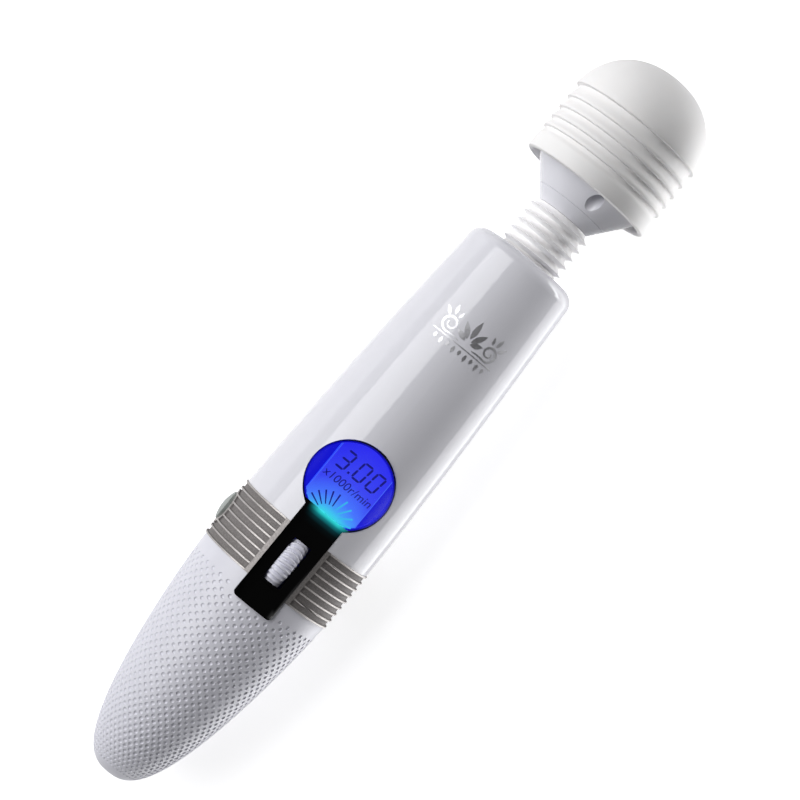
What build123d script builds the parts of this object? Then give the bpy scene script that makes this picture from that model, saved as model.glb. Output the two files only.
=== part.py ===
from build123d import *

import os
from math import cos, pi, sin, sqrt

# Handheld wand massager: a tapered handle with a display and a speed wheel, a bellows
# neck that bends, and a round silicone head that an eccentric weight shakes.
#
# Everything is built lying along X with the tail tip at x = 0 and the wand's own axis on
# the X axis, front towards +Z. publish() then lays it down: the origin is under the
# middle of the wand, on the surface that it rests on, head towards +X. Millimetres.

# ---------------------------------------------------------------- lengths along the wand
GRIP_LENGTH = 80.6          # tail tip to the metal band
BAND_LENGTH = 21.2
SLEEVE_LENGTH = 112.2       # band to the flat top of the shoulder
NECK_LENGTH = 18.3          # shoulder to the bottom of the head's collar
COLLAR_LENGTH = 4.3
CONE_LENGTH = 9.2           # sloping part of the head's cone
CONE_RIM_LENGTH = 2.5       # straight rim above the slope
CAP_LENGTH = 46.7           # silicone cap, rim to crown
DOME_LENGTH = 21.1          # the round part of the cap

# ---------------------------------------------------------------- outer radii and skin
BAND_RADIUS = 25.1
GRIP_STEP = 0.5             # the grip lies this much under the band's ridges
SLEEVE_STEP = 0.45
SLEEVE_TAPER = 4.3          # the sleeve loses this much radius by the shoulder
TAPER_POWER = 1.55
GRIP_POWERS = (1.4, 0.36)   # fullness of the grip's nose
DOME_POWERS = (1.85, 0.42)  # fullness of the cap's dome
SHOULDER_FILLET = 4.5
WALL = 2.2
TOP_WALL = 2.4
TAIL_WALL = 3.2
SNUG = 0.1                  # gap between pieces that are pushed together
SLIDE_FIT = 0.25            # gap round a piece that travels
SHAFT_FIT = 0.05            # radial gap of a running shaft

# ---------------------------------------------------------------- band and side button
RIDGE_COUNT = 9
RIDGE_WIDTH = 0.55
RIDGE_HEIGHT = 0.7
FRAME_STRIP = 1.6           # plain strip of the band beside the display panel
BUTTON_RADIUS = 5.25
BUTTON_PROUD = 1.5      # at the crown of its dome
BUTTON_DOME = 1.05      # height of the dome over its edge
BUTTON_TRAVEL = 0.6
BUTTON_FLANGE = 1.05
FLANGE_THICKNESS = 1.0
STEM_RADIUS = 1.9
STEM_LENGTH = 0.9
SWITCH_SIZE = 6.0
SWITCH_HEIGHT = 2.2
BOARD_THICKNESS = 1.2

# ---------------------------------------------------------------- display panel
WINDOW_RADIUS = 14.7
WINDOW_AHEAD = 20.2         # window centre ahead of the band's head end
TAIL_WIDTH = 14.8
TAIL_BEHIND = 7.7           # panel's tail end behind the band's tail end
PANEL_CORNER = 1.3
LENS_THICKNESS = 1.8
LENS_PROUD_TAIL = 0.2       # over the band's ridges, at the tail end
LENS_PROUD_HEAD = 0.45      # over the sleeve, at the far side of the window
GASKET_THICKNESS = 0.6
GASKET_WIDTH = 1.1
LCD_WIDTH_SHARE = 0.733      # screen width over the free diameter of its tray
LCD_THICKNESS = 2.2
BACKLIGHT_THICKNESS = 2.4
TRAY_FLOOR = 1.2
TRAY_FOOT_RADIUS = 1.6
TRAY_FOOT_HEIGHT = 1.6
MAIN_BOARD_WIDTH = 24.0
MAIN_BOARD_THICKNESS = 1.6
BOARD_CLEARANCE = 3.05      # from the board's head end to the middle bulkhead
BOARD_SCREW_RADIUS = 1.0

# ---------------------------------------------------------------- speed wheel
WHEEL_RADIUS = 12.5
WHEEL_WIDTH = 5.9
WHEEL_CROWN = 0.55
WHEEL_RIDGES = 39
WHEEL_SCALLOP = 0.95
WHEEL_PROUD = 3.1           # above the panel
SLOT_LENGTH = 18.4
SLOT_WIDTH = 6.6
AXLE_RADIUS = 1.5
CHEEK_THICKNESS = 1.4

# ---------------------------------------------------------------- chassis, battery, socket
CORE_WALL = 1.8
CORE_REACH = 7.0            # how far the core ring goes into the grip and the sleeve
RAIL_INSIDE = 13.6          # half the free width between the two rails
RAIL_THICKNESS = 2.2
RAIL_HEIGHT = 8.0
BULKHEAD_THICKNESS = 2.5
BATTERY_RADIUS = 9.15
BATTERY_LENGTH = 65.0
BATTERY_DROP = 2.0
CRADLE_WALL = 1.4
CONTACT_THICKNESS = 0.5
SOCKET_BORE_RADIUS = 1.75
SOCKET_BARREL_RADIUS = 2.9
SOCKET_BODY_RADIUS = 4.2
SOCKET_BODY_LENGTH = 9.0
SOCKET_DEPTH = 10.5
SOCKET_SUNK = 0.6

# ---------------------------------------------------------------- motor
MOTOR_RADIUS = 12.2
MOTOR_LENGTH = 31.0
MOTOR_CAN_WALL = 1.1
MOTOR_CAP_LENGTH = 3.4
MAGNET_THICKNESS = 1.9
AIR_GAP = 0.4
ARMATURE_LENGTH = 19.0
MOTOR_SHAFT_RADIUS = 1.5
MOTOR_SHAFT_REACH = 10.0    # ahead of the bracket
MOTOR_SCREW_RADIUS = 1.25
MOTOR_SCREW_CIRCLE = 8.0
BRACKET_THICKNESS = 2.4
DAMPER_LENGTH = 10.0

# ---------------------------------------------------------------- neck
BELLOWS_CREST_RADIUS = 11.6
BELLOWS_ROOT_RADIUS = 9.6
BELLOWS_CRESTS = 5
BELLOWS_WALL = 1.3
BELLOWS_LEAN = 0.35         # share of a pitch from a root up to its crest
BELLOWS_END_WALL = 1.2
RETAINER_WALL = 1.4
RETAINER_PROUD = 1.3
RETAINER_FLANGE_RADIUS = 15.0
RETAINER_FLANGE = 2.5
COUPLING_RADIUS = 4.4
COUPLING_RIBS = 7

# ---------------------------------------------------------------- head
COLLAR_RADIUS = 9.9
COLLAR_TOP_RADIUS = 13.1
CONE_TOP_RADIUS = 20.6
COLLAR_SPIGOT = 2.6
BEARING_OUTER = 8.0
BEARING_BORE = 2.5
BEARING_WIDTH = 5.0
HUB_WALL = 2.5
HEAD_SCREW_COUNT = 3
HEAD_SCREW_CIRCLE = 16.5
HEAD_SCREW_TURN = 12.5      # degrees from the front to the first screw, towards -Y
COUNTERBORE_RADIUS = 2.45
COUNTERBORE_FLOOR = 2.0     # below the cone's rim
BOSS_WALL = 1.4
HEAD_SCREW_RADIUS = 1.3
HEAD_SCREW_GRIP = 7.5       # how far the screws reach into the core
NOTCH_SIZE = (2.2, 3.4, 1.6)
NOTCH_TURN = 80.0
CAP_RADIUS = 24.35
CAP_RIM_RADIUS = 23.8
CAP_RIM_LENGTH = 6.8
CAP_RING_COUNT = 4
CAP_RING_RADIUS = 24.0
CAP_GROOVE_RADIUS = 23.1
CAP_WALL = 3.3
CAP_OVERLAP = 5.0           # rim of the cap below the rim of the cone
WEIGHT_RADIUS = 15.5
WEIGHT_LENGTH = 11.0
WEIGHT_HUB_RADIUS = 5.0
WEIGHT_SCREW_RADIUS = 1.5

# ---------------------------------------------------------------- stations from the tail
BAND_START = GRIP_LENGTH
BAND_END = BAND_START + BAND_LENGTH
SHOULDER = BAND_END + SLEEVE_LENGTH
COLLAR_START = SHOULDER + NECK_LENGTH
CONE_START = COLLAR_START + COLLAR_LENGTH
CONE_RIM = CONE_START + CONE_LENGTH + CONE_RIM_LENGTH
CAP_START = CONE_RIM - CAP_OVERLAP
CROWN = CAP_START + CAP_LENGTH
DOME_START = CROWN - DOME_LENGTH

GRIP_RADIUS = BAND_RADIUS - GRIP_STEP
SLEEVE_RADIUS = BAND_RADIUS - SLEEVE_STEP
CORE_RADIUS = BAND_RADIUS - GRIP_STEP - WALL - 0.7
CORE_START = BAND_START - CORE_REACH
CORE_END = BAND_END + CORE_REACH
WINDOW_CENTRE = BAND_END + WINDOW_AHEAD
WINDOW_END = WINDOW_CENTRE + WINDOW_RADIUS
PANEL_START = BAND_START - TAIL_BEHIND
BAND_MIDDLE = BAND_START + BAND_LENGTH / 2
TURN = 360


# ---------------------------------------------------------------- shared shapes
def fullness(share, powers):
    """Radius share of a blunt nose at a share of its length, 0 at the base, 1 at the tip."""
    return max(0.0, 1 - share ** powers[0]) ** powers[1]


def grip_radius(x):
    return GRIP_RADIUS * fullness((GRIP_LENGTH - x) / GRIP_LENGTH, GRIP_POWERS)


def sleeve_radius(x):
    share = (x - BAND_END) / (SHOULDER - SHOULDER_FILLET - BAND_END)
    return SLEEVE_RADIUS - SLEEVE_TAPER * max(0.0, share) ** TAPER_POWER


def lens_radius(x):
    """The panel's outer face is a straight cone from its tail end to the window's far side."""
    at_tail = BAND_RADIUS + LENS_PROUD_TAIL
    at_head = sleeve_radius(WINDOW_END) + LENS_PROUD_HEAD
    share = (x - PANEL_START) / (WINDOW_END - PANEL_START)
    return at_tail + (at_head - at_tail) * share


def turned(points):
    """A solid of revolution about the wand's axis from (x, radius) corners."""
    return revolve(make_face(Plane.XZ * Polyline(*points, close=True)), Axis.X, TURN)


def turned_edges(edges):
    """The same from a closed loop of lines and curves."""
    return revolve(Plane.XZ * make_face(Curve() + edges), Axis.X, TURN)


def rod(start, end, radius, y=0.0, z=0.0):
    """A round bar along the wand."""
    return Pos((start + end) / 2, y, z) * Cylinder(radius, end - start, rotation=(0, 90, 0))


def tube(start, end, outer, inner, y=0.0, z=0.0):
    return rod(start, end, outer, y, z) - rod(start - 1, end + 1, inner, y, z)


def cross_rod(start, end, radius, x, z=0.0):
    """A round bar from side to side, along Y."""
    return Pos(x, (start + end) / 2, z) * Cylinder(radius, end - start, rotation=(90, 0, 0))


def slab(x_range, y_range, z_range):
    """A box between six planes."""
    size = [high - low for low, high in (x_range, y_range, z_range)]
    middle = [(high + low) / 2 for low, high in (x_range, y_range, z_range)]
    return Pos(*middle) * Box(*size)


def around(radius, degrees_from_front):
    """(y, z) on a circle about the axis, turning from the front towards -Y."""
    angle = degrees_from_front * pi / 180
    return -radius * sin(angle), radius * cos(angle)


def nose(start, length, radius, powers, inset=0.0, towards_head=True):
    """Points of a blunt nose from its base to its tip, thinned by an inset."""
    shares = (0, 0.25, 0.5, 0.72, 0.88, 0.97)
    reach = length - inset
    sign = 1 if towards_head else -1
    points = [(start + sign * reach * t, (radius - inset) * fullness(t, powers)) for t in shares]
    return points + [(start + sign * reach, 0)]


def panel_outline(margin=0.0):
    """Keyhole outline of the display panel, seen from the front, grown by a margin."""
    length = WINDOW_CENTRE - PANEL_START
    tail = Pos(PANEL_START + length / 2 - margin / 2, 0) * RectangleRounded(
        length + margin, TAIL_WIDTH + 2 * margin, PANEL_CORNER + max(margin, 0)
    )
    return tail + Pos(WINDOW_CENTRE, 0) * Circle(WINDOW_RADIUS + margin)


def panel_column(margin=0.0):
    """The keyhole as a tall prism through the front of the handle."""
    return extrude(Pos(0, 0, SCREEN_LEVEL) * panel_outline(margin), BAND_RADIUS)


SCREEN_LEVEL = 8.0          # nothing that the panel's opening cuts lies below this


def publish(name, shape):
    """Lay the piece down in the row's frame and write it."""
    placed = Pos(-CROWN / 2, 0, BAND_RADIUS) * shape
    solids = placed.solids()
    export_step(solids[0] if len(solids) == 1 else Compound(children=list(solids)), f"parts/{name}.step")


# ---------------------------------------------------------------- outer shells
def make_grip_shell():
    outer = nose(GRIP_LENGTH, GRIP_LENGTH, GRIP_RADIUS, GRIP_POWERS, towards_head=False)
    skin = turned_edges([
        Spline(*outer, tangents=[(-1, 0), (0, -1)]),
        Line(outer[-1], (GRIP_LENGTH, 0)),
        Line((GRIP_LENGTH, 0), outer[0]),
    ])
    stations = [TAIL_WALL + (GRIP_LENGTH - TAIL_WALL) * t for t in (0, 0.06, 0.2, 0.45, 0.7, 1)]
    inner = [(x, grip_radius(x) - WALL) for x in stations]
    hollow = turned_edges([
        Line((TAIL_WALL, 0), inner[0]),
        Spline(*inner),
        Line(inner[-1], (GRIP_LENGTH, 0)),
        Line((GRIP_LENGTH, 0), (TAIL_WALL, 0)),
    ])
    shell = skin - hollow - rod(-1, TAIL_WALL + 1, SOCKET_BARREL_RADIUS + SNUG)
    return shell - panel_column(SNUG)


def make_silver_band():
    pitch = (BAND_LENGTH - RIDGE_WIDTH) / (RIDGE_COUNT - 1)
    groove = BAND_RADIUS - RIDGE_HEIGHT
    points = [(BAND_START, CORE_RADIUS + SNUG)]
    for i in range(RIDGE_COUNT):
        left = BAND_START + pitch * i
        right = left + RIDGE_WIDTH
        points += [(left, BAND_RADIUS), (right, BAND_RADIUS)]
        if i < RIDGE_COUNT - 1:
            points += [(right, groove), (left + pitch, groove)]
    points.append((BAND_END, CORE_RADIUS + SNUG))
    ring = turned(points)
    plain = tube(BAND_START, BAND_END, BAND_RADIUS, CORE_RADIUS + SNUG)
    strips = plain & panel_column(FRAME_STRIP)
    seat = cross_rod(0, BAND_RADIUS + 1, BUTTON_RADIUS + FRAME_STRIP, BAND_MIDDLE)
    bore = cross_rod(0, BAND_RADIUS + 2, BUTTON_RADIUS + SLIDE_FIT, BAND_MIDDLE)
    return ring + strips + (plain & seat) - bore - panel_column(SNUG)


def make_upper_shell():
    top = SHOULDER - SHOULDER_FILLET
    stations = [BAND_END + (top - BAND_END) * t for t in (0, 0.25, 0.5, 0.75, 1)]
    outer = [(x, sleeve_radius(x)) for x in stations]
    inner = [(x, radius - WALL) for x, radius in outer]
    slope = (outer[-1][1] - outer[-2][1]) / (outer[-1][0] - outer[-2][0])
    ceiling = SHOULDER - TOP_WALL
    edge = (SHOULDER, outer[-1][1] - SHOULDER_FILLET)
    skin = turned_edges([
        Line((BAND_END, 0), outer[0]),
        Spline(*outer, tangents=[(1, 0), (1, slope)]),
        TangentArc(outer[-1], edge, tangent=(1, slope)),
        Line(edge, (SHOULDER, 0)),
        Line((SHOULDER, 0), (BAND_END, 0)),
    ])
    hollow = turned_edges([
        Line((BAND_END - 1, 0), (BAND_END - 1, inner[0][1])),
        Line((BAND_END - 1, inner[0][1]), inner[0]),
        Spline(*inner, tangents=[(1, 0), (1, slope)]),
        Line(inner[-1], (ceiling, inner[-1][1] - TOP_WALL / 2)),
        Line((ceiling, inner[-1][1] - TOP_WALL / 2), (ceiling, 0)),
        Line((ceiling, 0), (BAND_END - 1, 0)),
    ])
    neck_hole = rod(ceiling - 1, SHOULDER + 1, retainer_radius() + SNUG)
    return skin - hollow - neck_hole - panel_column(SNUG)


# ---------------------------------------------------------------- display
def lens_layer(outer_inset, inner_inset):
    """A layer of the panel's curved body between two depths under its face."""
    start = PANEL_START - 1
    end = WINDOW_END + 1
    face = [(start, lens_radius(start) - outer_inset), (end, lens_radius(end) - outer_inset)]
    back = [(end, lens_radius(end) - inner_inset), (start, lens_radius(start) - inner_inset)]
    return turned(face + back)


def make_display_lens():
    slot = slab(
        (wheel_x() - SLOT_LENGTH / 2, wheel_x() + SLOT_LENGTH / 2),
        (-SLOT_WIDTH / 2, SLOT_WIDTH / 2),
        (0, BAND_RADIUS * 2),
    )
    relief = cross_rod(-SLOT_WIDTH / 2, SLOT_WIDTH / 2, WHEEL_RADIUS + SLIDE_FIT, wheel_x(), wheel_z())
    return (lens_layer(0, LENS_THICKNESS) & panel_column()) - slot - relief


def make_lens_gasket():
    layer = lens_layer(LENS_THICKNESS, LENS_THICKNESS + GASKET_THICKNESS)
    return layer & (panel_column() - panel_column(-GASKET_WIDTH))


def lcd_half_size():
    """Half the screen's length and width, with its corners at the wall of the round tray."""
    corner = WINDOW_RADIUS - GASKET_WIDTH - SNUG
    half_width = corner * LCD_WIDTH_SHARE
    return sqrt(corner ** 2 - half_width ** 2), half_width


def lcd_top():
    """The flat screen lies as high as its corners may under the gasket's curve."""
    under = lens_radius(WINDOW_END) - LENS_THICKNESS - GASKET_THICKNESS - SNUG
    return sqrt(under ** 2 - lcd_half_size()[1] ** 2)


def screen_layer(low, high):
    half_x, half_y = lcd_half_size()
    return slab((WINDOW_CENTRE - half_x, WINDOW_CENTRE + half_x), (-half_y, half_y), (low, high))


def make_lcd_module():
    return screen_layer(lcd_top() - LCD_THICKNESS, lcd_top())


def make_backlight():
    return screen_layer(tray_level(), lcd_top() - LCD_THICKNESS)


def tray_level():
    return lcd_top() - LCD_THICKNESS - BACKLIGHT_THICKNESS


def make_display_tray():
    """A round white cup that carries the screen and reflects its light."""
    floor_low = tray_level() - TRAY_FLOOR
    cup = Pos(WINDOW_CENTRE, 0, (floor_low + BAND_RADIUS) / 2) * Cylinder(
        WINDOW_RADIUS - SNUG, BAND_RADIUS - floor_low
    )
    roof = turned([
        (WINDOW_CENTRE - WINDOW_RADIUS, 0),
        (WINDOW_CENTRE - WINDOW_RADIUS, lens_radius(WINDOW_END) - LENS_THICKNESS - GASKET_THICKNESS),
        (WINDOW_END, lens_radius(WINDOW_END) - LENS_THICKNESS - GASKET_THICKNESS),
        (WINDOW_END, 0),
    ])
    cup = cup & roof
    pocket = Pos(WINDOW_CENTRE, 0, tray_level() + BAND_RADIUS) * Cylinder(
        WINDOW_RADIUS - GASKET_WIDTH, BAND_RADIUS * 2
    )
    feet = Part()
    reach = WINDOW_RADIUS * 0.4
    for x in (WINDOW_CENTRE - reach, WINDOW_CENTRE + reach):
        for y in (-reach, reach):
            middle = floor_low - TRAY_FOOT_HEIGHT / 2
            feet += Pos(x, y, middle) * Cylinder(TRAY_FOOT_RADIUS, TRAY_FOOT_HEIGHT)
    return cup - pocket + feet


def board_top():
    return tray_level() - TRAY_FLOOR - TRAY_FOOT_HEIGHT


def board_start():
    return CORE_END + SLIDE_FIT


def board_end():
    return middle_plate_start() - BOARD_CLEARANCE


def board_screw_places():
    inset = 2.6
    xs = (board_start() + inset, board_end() - inset)
    return [(x, y * (MAIN_BOARD_WIDTH / 2 - inset)) for x in xs for y in (-1, 1)]


def make_main_board():
    half_width = MAIN_BOARD_WIDTH / 2
    below = board_top() - MAIN_BOARD_THICKNESS
    board = slab((board_start(), board_end()), (-half_width, half_width), (below, board_top()))
    for x, y in board_screw_places():
        board -= Pos(x, y, board_top()) * Cylinder(BOARD_SCREW_RADIUS + SNUG, MAIN_BOARD_THICKNESS * 4)
    for share, size_x, size_y in ((0.34, 5, 4), (0.49, 7, 7), (0.64, 4, 3)):
        x = board_start() + (board_end() - board_start()) * share
        board += slab((x - size_x / 2, x + size_x / 2), (-size_y / 2, size_y / 2), (below - 1.1, below))
    return board


def rail_places():
    """(y low, y high) of the two rails."""
    outside = RAIL_INSIDE + RAIL_THICKNESS
    return ((-outside, -RAIL_INSIDE), (RAIL_INSIDE, outside))


def make_board_screws():
    screws = Part()
    for x, y in board_screw_places():
        low = board_top() - MAIN_BOARD_THICKNESS - 3
        screws += Pos(x, y, (low + board_top()) / 2) * Cylinder(BOARD_SCREW_RADIUS, board_top() - low)
        screws += Pos(x, y, board_top() + 0.5) * Cylinder(BOARD_SCREW_RADIUS * 1.8, 1.0)
    return screws


# ---------------------------------------------------------------- chassis and battery
def motor_start():
    return motor_face() - MOTOR_LENGTH


def motor_face():
    return bracket_start()


def bracket_start():
    return top_plate_start() - MOTOR_SHAFT_REACH + 1 - BRACKET_THICKNESS


def top_plate_start():
    return SHOULDER - TOP_WALL - RETAINER_FLANGE - BULKHEAD_THICKNESS - 0.6


def middle_plate_start():
    return motor_start() - BULKHEAD_THICKNESS - 2


def bulkhead(start, hole):
    """A plate across the sleeve, with a gap to its wall and a round hole."""
    radius = min(CORE_RADIUS, sleeve_radius(start + BULKHEAD_THICKNESS) - WALL - SLIDE_FIT)
    return tube(start, start + BULKHEAD_THICKNESS, radius, hole)


def make_chassis():
    """Core ring behind the band, two rails and three bulkheads in one moulding."""
    ring = tube(CORE_START, CORE_END, CORE_RADIUS, CORE_RADIUS - CORE_WALL)
    front_plate = bulkhead(CORE_END - BULKHEAD_THICKNESS, RAIL_INSIDE - 1.5)
    middle_plate = bulkhead(middle_plate_start(), MOTOR_RADIUS - 2)
    top_plate = bulkhead(top_plate_start(), COUPLING_RADIUS + 1.6)
    body = ring + front_plate + middle_plate + top_plate
    for y_range in rail_places():
        rail = slab((CORE_END - 1, top_plate_start() + 1), y_range, (-RAIL_HEIGHT / 2, RAIL_HEIGHT / 2))
        body += rail
    for x, y in board_screw_places():
        side = 1 if y > 0 else -1
        low = RAIL_HEIGHT / 2 - 3
        high = board_top() - MAIN_BOARD_THICKNESS
        post_y = sorted((y - side * 2.2, side * (RAIL_INSIDE + RAIL_THICKNESS)))
        body += slab((x - 2.2, x + 2.2), post_y, (low, high))
    for x, y in board_screw_places():
        body -= Pos(x, y, board_top() - 4) * Cylinder(BOARD_SCREW_RADIUS + SHAFT_FIT, 8)
    for x_range in ((BAND_MIDDLE - 10.2, BAND_MIDDLE - 6.6), (BAND_MIDDLE + 6.6, BAND_MIDDLE + 10.2)):
        post = slab(x_range, (switch_board_top(), CORE_RADIUS - CORE_WALL / 2), (-4, 4))
        body += post & rod(CORE_START, CORE_END, CORE_RADIUS - CORE_WALL / 2)
    opening = extrude(Pos(0, 0, SCREEN_LEVEL + 3) * panel_outline(GASKET_WIDTH), BAND_RADIUS)
    body -= opening
    body -= cross_rod(CORE_RADIUS - CORE_WALL - 2, BAND_RADIUS, BUTTON_RADIUS + SLIDE_FIT, BAND_MIDDLE)
    for x, y, z in neck_screw_places():
        body -= rod(x - 20, x + 20, MOTOR_SCREW_RADIUS + SHAFT_FIT, y, z)
    return body


def battery_start():
    return TAIL_WALL + SOCKET_BODY_LENGTH + CONTACT_THICKNESS + 0.8


def make_battery_cell():
    end = battery_start() + BATTERY_LENGTH
    cell = rod(battery_start(), end - 1.2, BATTERY_RADIUS, z=-BATTERY_DROP)
    return cell + rod(end - 1.5, end, 3.0, z=-BATTERY_DROP)


def make_battery_cradle():
    inner = BATTERY_RADIUS + SNUG
    start = battery_start() + 3
    end = battery_start() + BATTERY_LENGTH - 2
    trough = tube(start, end, inner + CRADLE_WALL, inner, z=-BATTERY_DROP)
    trough &= slab((start, end), (-40, 40), (-40, -BATTERY_DROP))
    reach = CORE_RADIUS - CORE_WALL - SNUG
    foot = slab((CORE_START, end), (-5, 5), (-reach, -BATTERY_DROP - inner - CRADLE_WALL / 2))
    foot &= rod(CORE_START, end, reach)
    stand = slab((start, start + 6), (-3, 3), (-reach, -BATTERY_DROP - inner - CRADLE_WALL / 2))
    stand &= rod(start, start + 6, grip_radius(start) - WALL - SNUG)
    return trough + foot + stand


def make_battery_contacts():
    plates = Part()
    for x in (battery_start() - CONTACT_THICKNESS, battery_start() + BATTERY_LENGTH):
        plates += rod(x, x + CONTACT_THICKNESS, 5.0, z=-BATTERY_DROP)
    return plates


def make_charge_socket():
    body = rod(TAIL_WALL, TAIL_WALL + SOCKET_BODY_LENGTH, SOCKET_BODY_RADIUS)
    barrel = rod(SOCKET_SUNK, TAIL_WALL + 1, SOCKET_BARREL_RADIUS)
    return body + barrel - rod(-1, SOCKET_SUNK + SOCKET_DEPTH, SOCKET_BORE_RADIUS)


# ---------------------------------------------------------------- speed wheel
def wheel_x():
    return BAND_MIDDLE - 0.4


def wheel_z():
    return lens_radius(wheel_x()) + WHEEL_PROUD - WHEEL_RADIUS


def make_thumb_wheel():
    blank = Circle(WHEEL_RADIUS)
    for place in PolarLocations(WHEEL_RADIUS + WHEEL_SCALLOP * 0.7, WHEEL_RIDGES):
        blank -= place * Circle(WHEEL_SCALLOP)
    blank -= Circle(AXLE_RADIUS)
    fluted = extrude(Plane.XZ * blank, WHEEL_WIDTH / 2, both=True)
    half = WHEEL_WIDTH / 2
    edge = WHEEL_RADIUS - WHEEL_CROWN
    crown = make_face(Curve() + [
        ThreePointArc((edge, -half), (WHEEL_RADIUS, 0), (edge, half)),
        Line((edge, half), (0, half)),
        Line((0, half), (0, -half)),
        Line((0, -half), (edge, -half)),
    ])
    barrel = revolve(crown, Axis.Y, TURN)
    return Pos(wheel_x(), 0, wheel_z()) * (fluted & barrel)


def cheek_inside():
    return WHEEL_WIDTH / 2 + SLIDE_FIT + 0.2


def make_wheel_axle():
    reach = cheek_inside() + CHEEK_THICKNESS + 1.2
    return cross_rod(-reach, reach, AXLE_RADIUS, wheel_x(), wheel_z())


def make_wheel_bracket():
    """Two cheeks that hold the axle, on a foot across the core ring."""
    cheeks = Part()
    foot_top = wheel_z() - WHEEL_RADIUS - SLIDE_FIT
    foot_low = foot_top - 1.6
    for side in (-1, 1):
        y_range = sorted((side * cheek_inside(), side * (cheek_inside() + CHEEK_THICKNESS)))
        cheeks += slab((wheel_x() - 4, wheel_x() + 4), y_range, (foot_low, wheel_z() + 4))
    half = sqrt((CORE_RADIUS - CORE_WALL) ** 2 - foot_low ** 2) - SNUG - SLIDE_FIT
    cheeks += slab((wheel_x() - 4, wheel_x() + 4), (-half, switch_board_top() - 4), (foot_low, foot_top))
    return cheeks - cross_rod(-20, 20, AXLE_RADIUS + SHAFT_FIT, wheel_x(), wheel_z())


def make_speed_sensor():
    """Rotary potentiometer on the far cheek."""
    near = cheek_inside() + CHEEK_THICKNESS
    body = slab((wheel_x() - 4, wheel_x() + 4), (-near - 2.6, -near), (wheel_z() - 4, wheel_z() + 3))
    return body - cross_rod(-near - 1.8, 0, AXLE_RADIUS + SHAFT_FIT, wheel_x(), wheel_z())


# ---------------------------------------------------------------- side button
def button_face():
    return BAND_RADIUS + BUTTON_PROUD


def flange_top():
    """The flange lies flat just behind the core ring's curve."""
    inside = CORE_RADIUS - CORE_WALL
    return sqrt(inside ** 2 - (BUTTON_RADIUS + BUTTON_FLANGE) ** 2) - 0.15


def stem_end():
    return flange_top() - FLANGE_THICKNESS - STEM_LENGTH


def switch_board_top():
    return stem_end() - BUTTON_TRAVEL - SNUG - SWITCH_HEIGHT


def make_mode_button():
    cap = cross_rod(flange_top() - 0.2, button_face(), BUTTON_RADIUS, BAND_MIDDLE)
    dome_radius = (BUTTON_RADIUS ** 2 + BUTTON_DOME ** 2) / (2 * BUTTON_DOME)
    cap &= Pos(BAND_MIDDLE, button_face() - dome_radius, 0) * Sphere(dome_radius)
    cap = fillet(cap.edges().filter_by(GeomType.CIRCLE).sort_by(Axis.Y)[-1], 0.35)
    flange_radius = BUTTON_RADIUS + BUTTON_FLANGE
    flange = cross_rod(flange_top() - FLANGE_THICKNESS, flange_top(), flange_radius, BAND_MIDDLE)
    stem = cross_rod(stem_end(), flange_top(), STEM_RADIUS, BAND_MIDDLE)
    return cap + flange + stem


def make_tact_switch():
    half = SWITCH_SIZE / 2
    top = switch_board_top() + SWITCH_HEIGHT
    body = slab((BAND_MIDDLE - half, BAND_MIDDLE + half), (switch_board_top(), top - 0.6), (-half, half))
    return body + cross_rod(top - 0.8, top, STEM_RADIUS, BAND_MIDDLE)


def make_switch_board():
    top = switch_board_top()
    return slab((BAND_MIDDLE - 10, BAND_MIDDLE + 10), (top - BOARD_THICKNESS, top), (-6, 6))


def make_button_dome():
    """Silicone dome that pushes the button back out."""
    low = switch_board_top()
    high = flange_top() - FLANGE_THICKNESS
    wide, narrow, skin = 6.0, STEM_RADIUS + 1.4, 0.5
    profile = Polyline(
        (wide, low),
        (narrow + skin, high),
        (STEM_RADIUS + 0.3, high),
        (STEM_RADIUS + 0.3, high - skin),
        (narrow, high - skin),
        (wide - skin, low),
        close=True,
    )
    return Pos(BAND_MIDDLE, 0, 0) * revolve(make_face(profile), Axis.Y, TURN)


# ---------------------------------------------------------------- motor
def make_motor_can():
    start = motor_start() + MOTOR_CAP_LENGTH
    end = motor_face()
    hollow = rod(start - 1, end - MOTOR_CAN_WALL, MOTOR_RADIUS - MOTOR_CAN_WALL)
    can = rod(start, end, MOTOR_RADIUS) - hollow
    can -= rod(end - 3, end + 1, MOTOR_SHAFT_RADIUS + SHAFT_FIT)
    for x, y, z in motor_screw_places():
        can -= rod(x - 6, x + 2, MOTOR_SCREW_RADIUS + SHAFT_FIT, y, z)
    return can


def make_motor_end_cap():
    start = motor_start()
    end = start + MOTOR_CAP_LENGTH
    cap = rod(start, end, MOTOR_RADIUS)
    can_bore = MOTOR_RADIUS - MOTOR_CAN_WALL
    cap += tube(end - 0.5, end + 1.5, can_bore - SNUG, can_bore - 1.4)
    return cap - rod(start + 0.8, end + 4, MOTOR_SHAFT_RADIUS + SHAFT_FIT)


def armature_radius():
    return MOTOR_RADIUS - MOTOR_CAN_WALL - MAGNET_THICKNESS - AIR_GAP - SNUG


def armature_start():
    return motor_start() + MOTOR_CAP_LENGTH + 5.5


def make_motor_magnets():
    outer = MOTOR_RADIUS - MOTOR_CAN_WALL - SNUG / 2
    ring = tube(armature_start(), armature_start() + ARMATURE_LENGTH, outer, outer - MAGNET_THICKNESS)
    gap = slab((motor_start(), motor_face()), (-3, 3), (-MOTOR_RADIUS, MOTOR_RADIUS))
    return ring - gap


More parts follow.
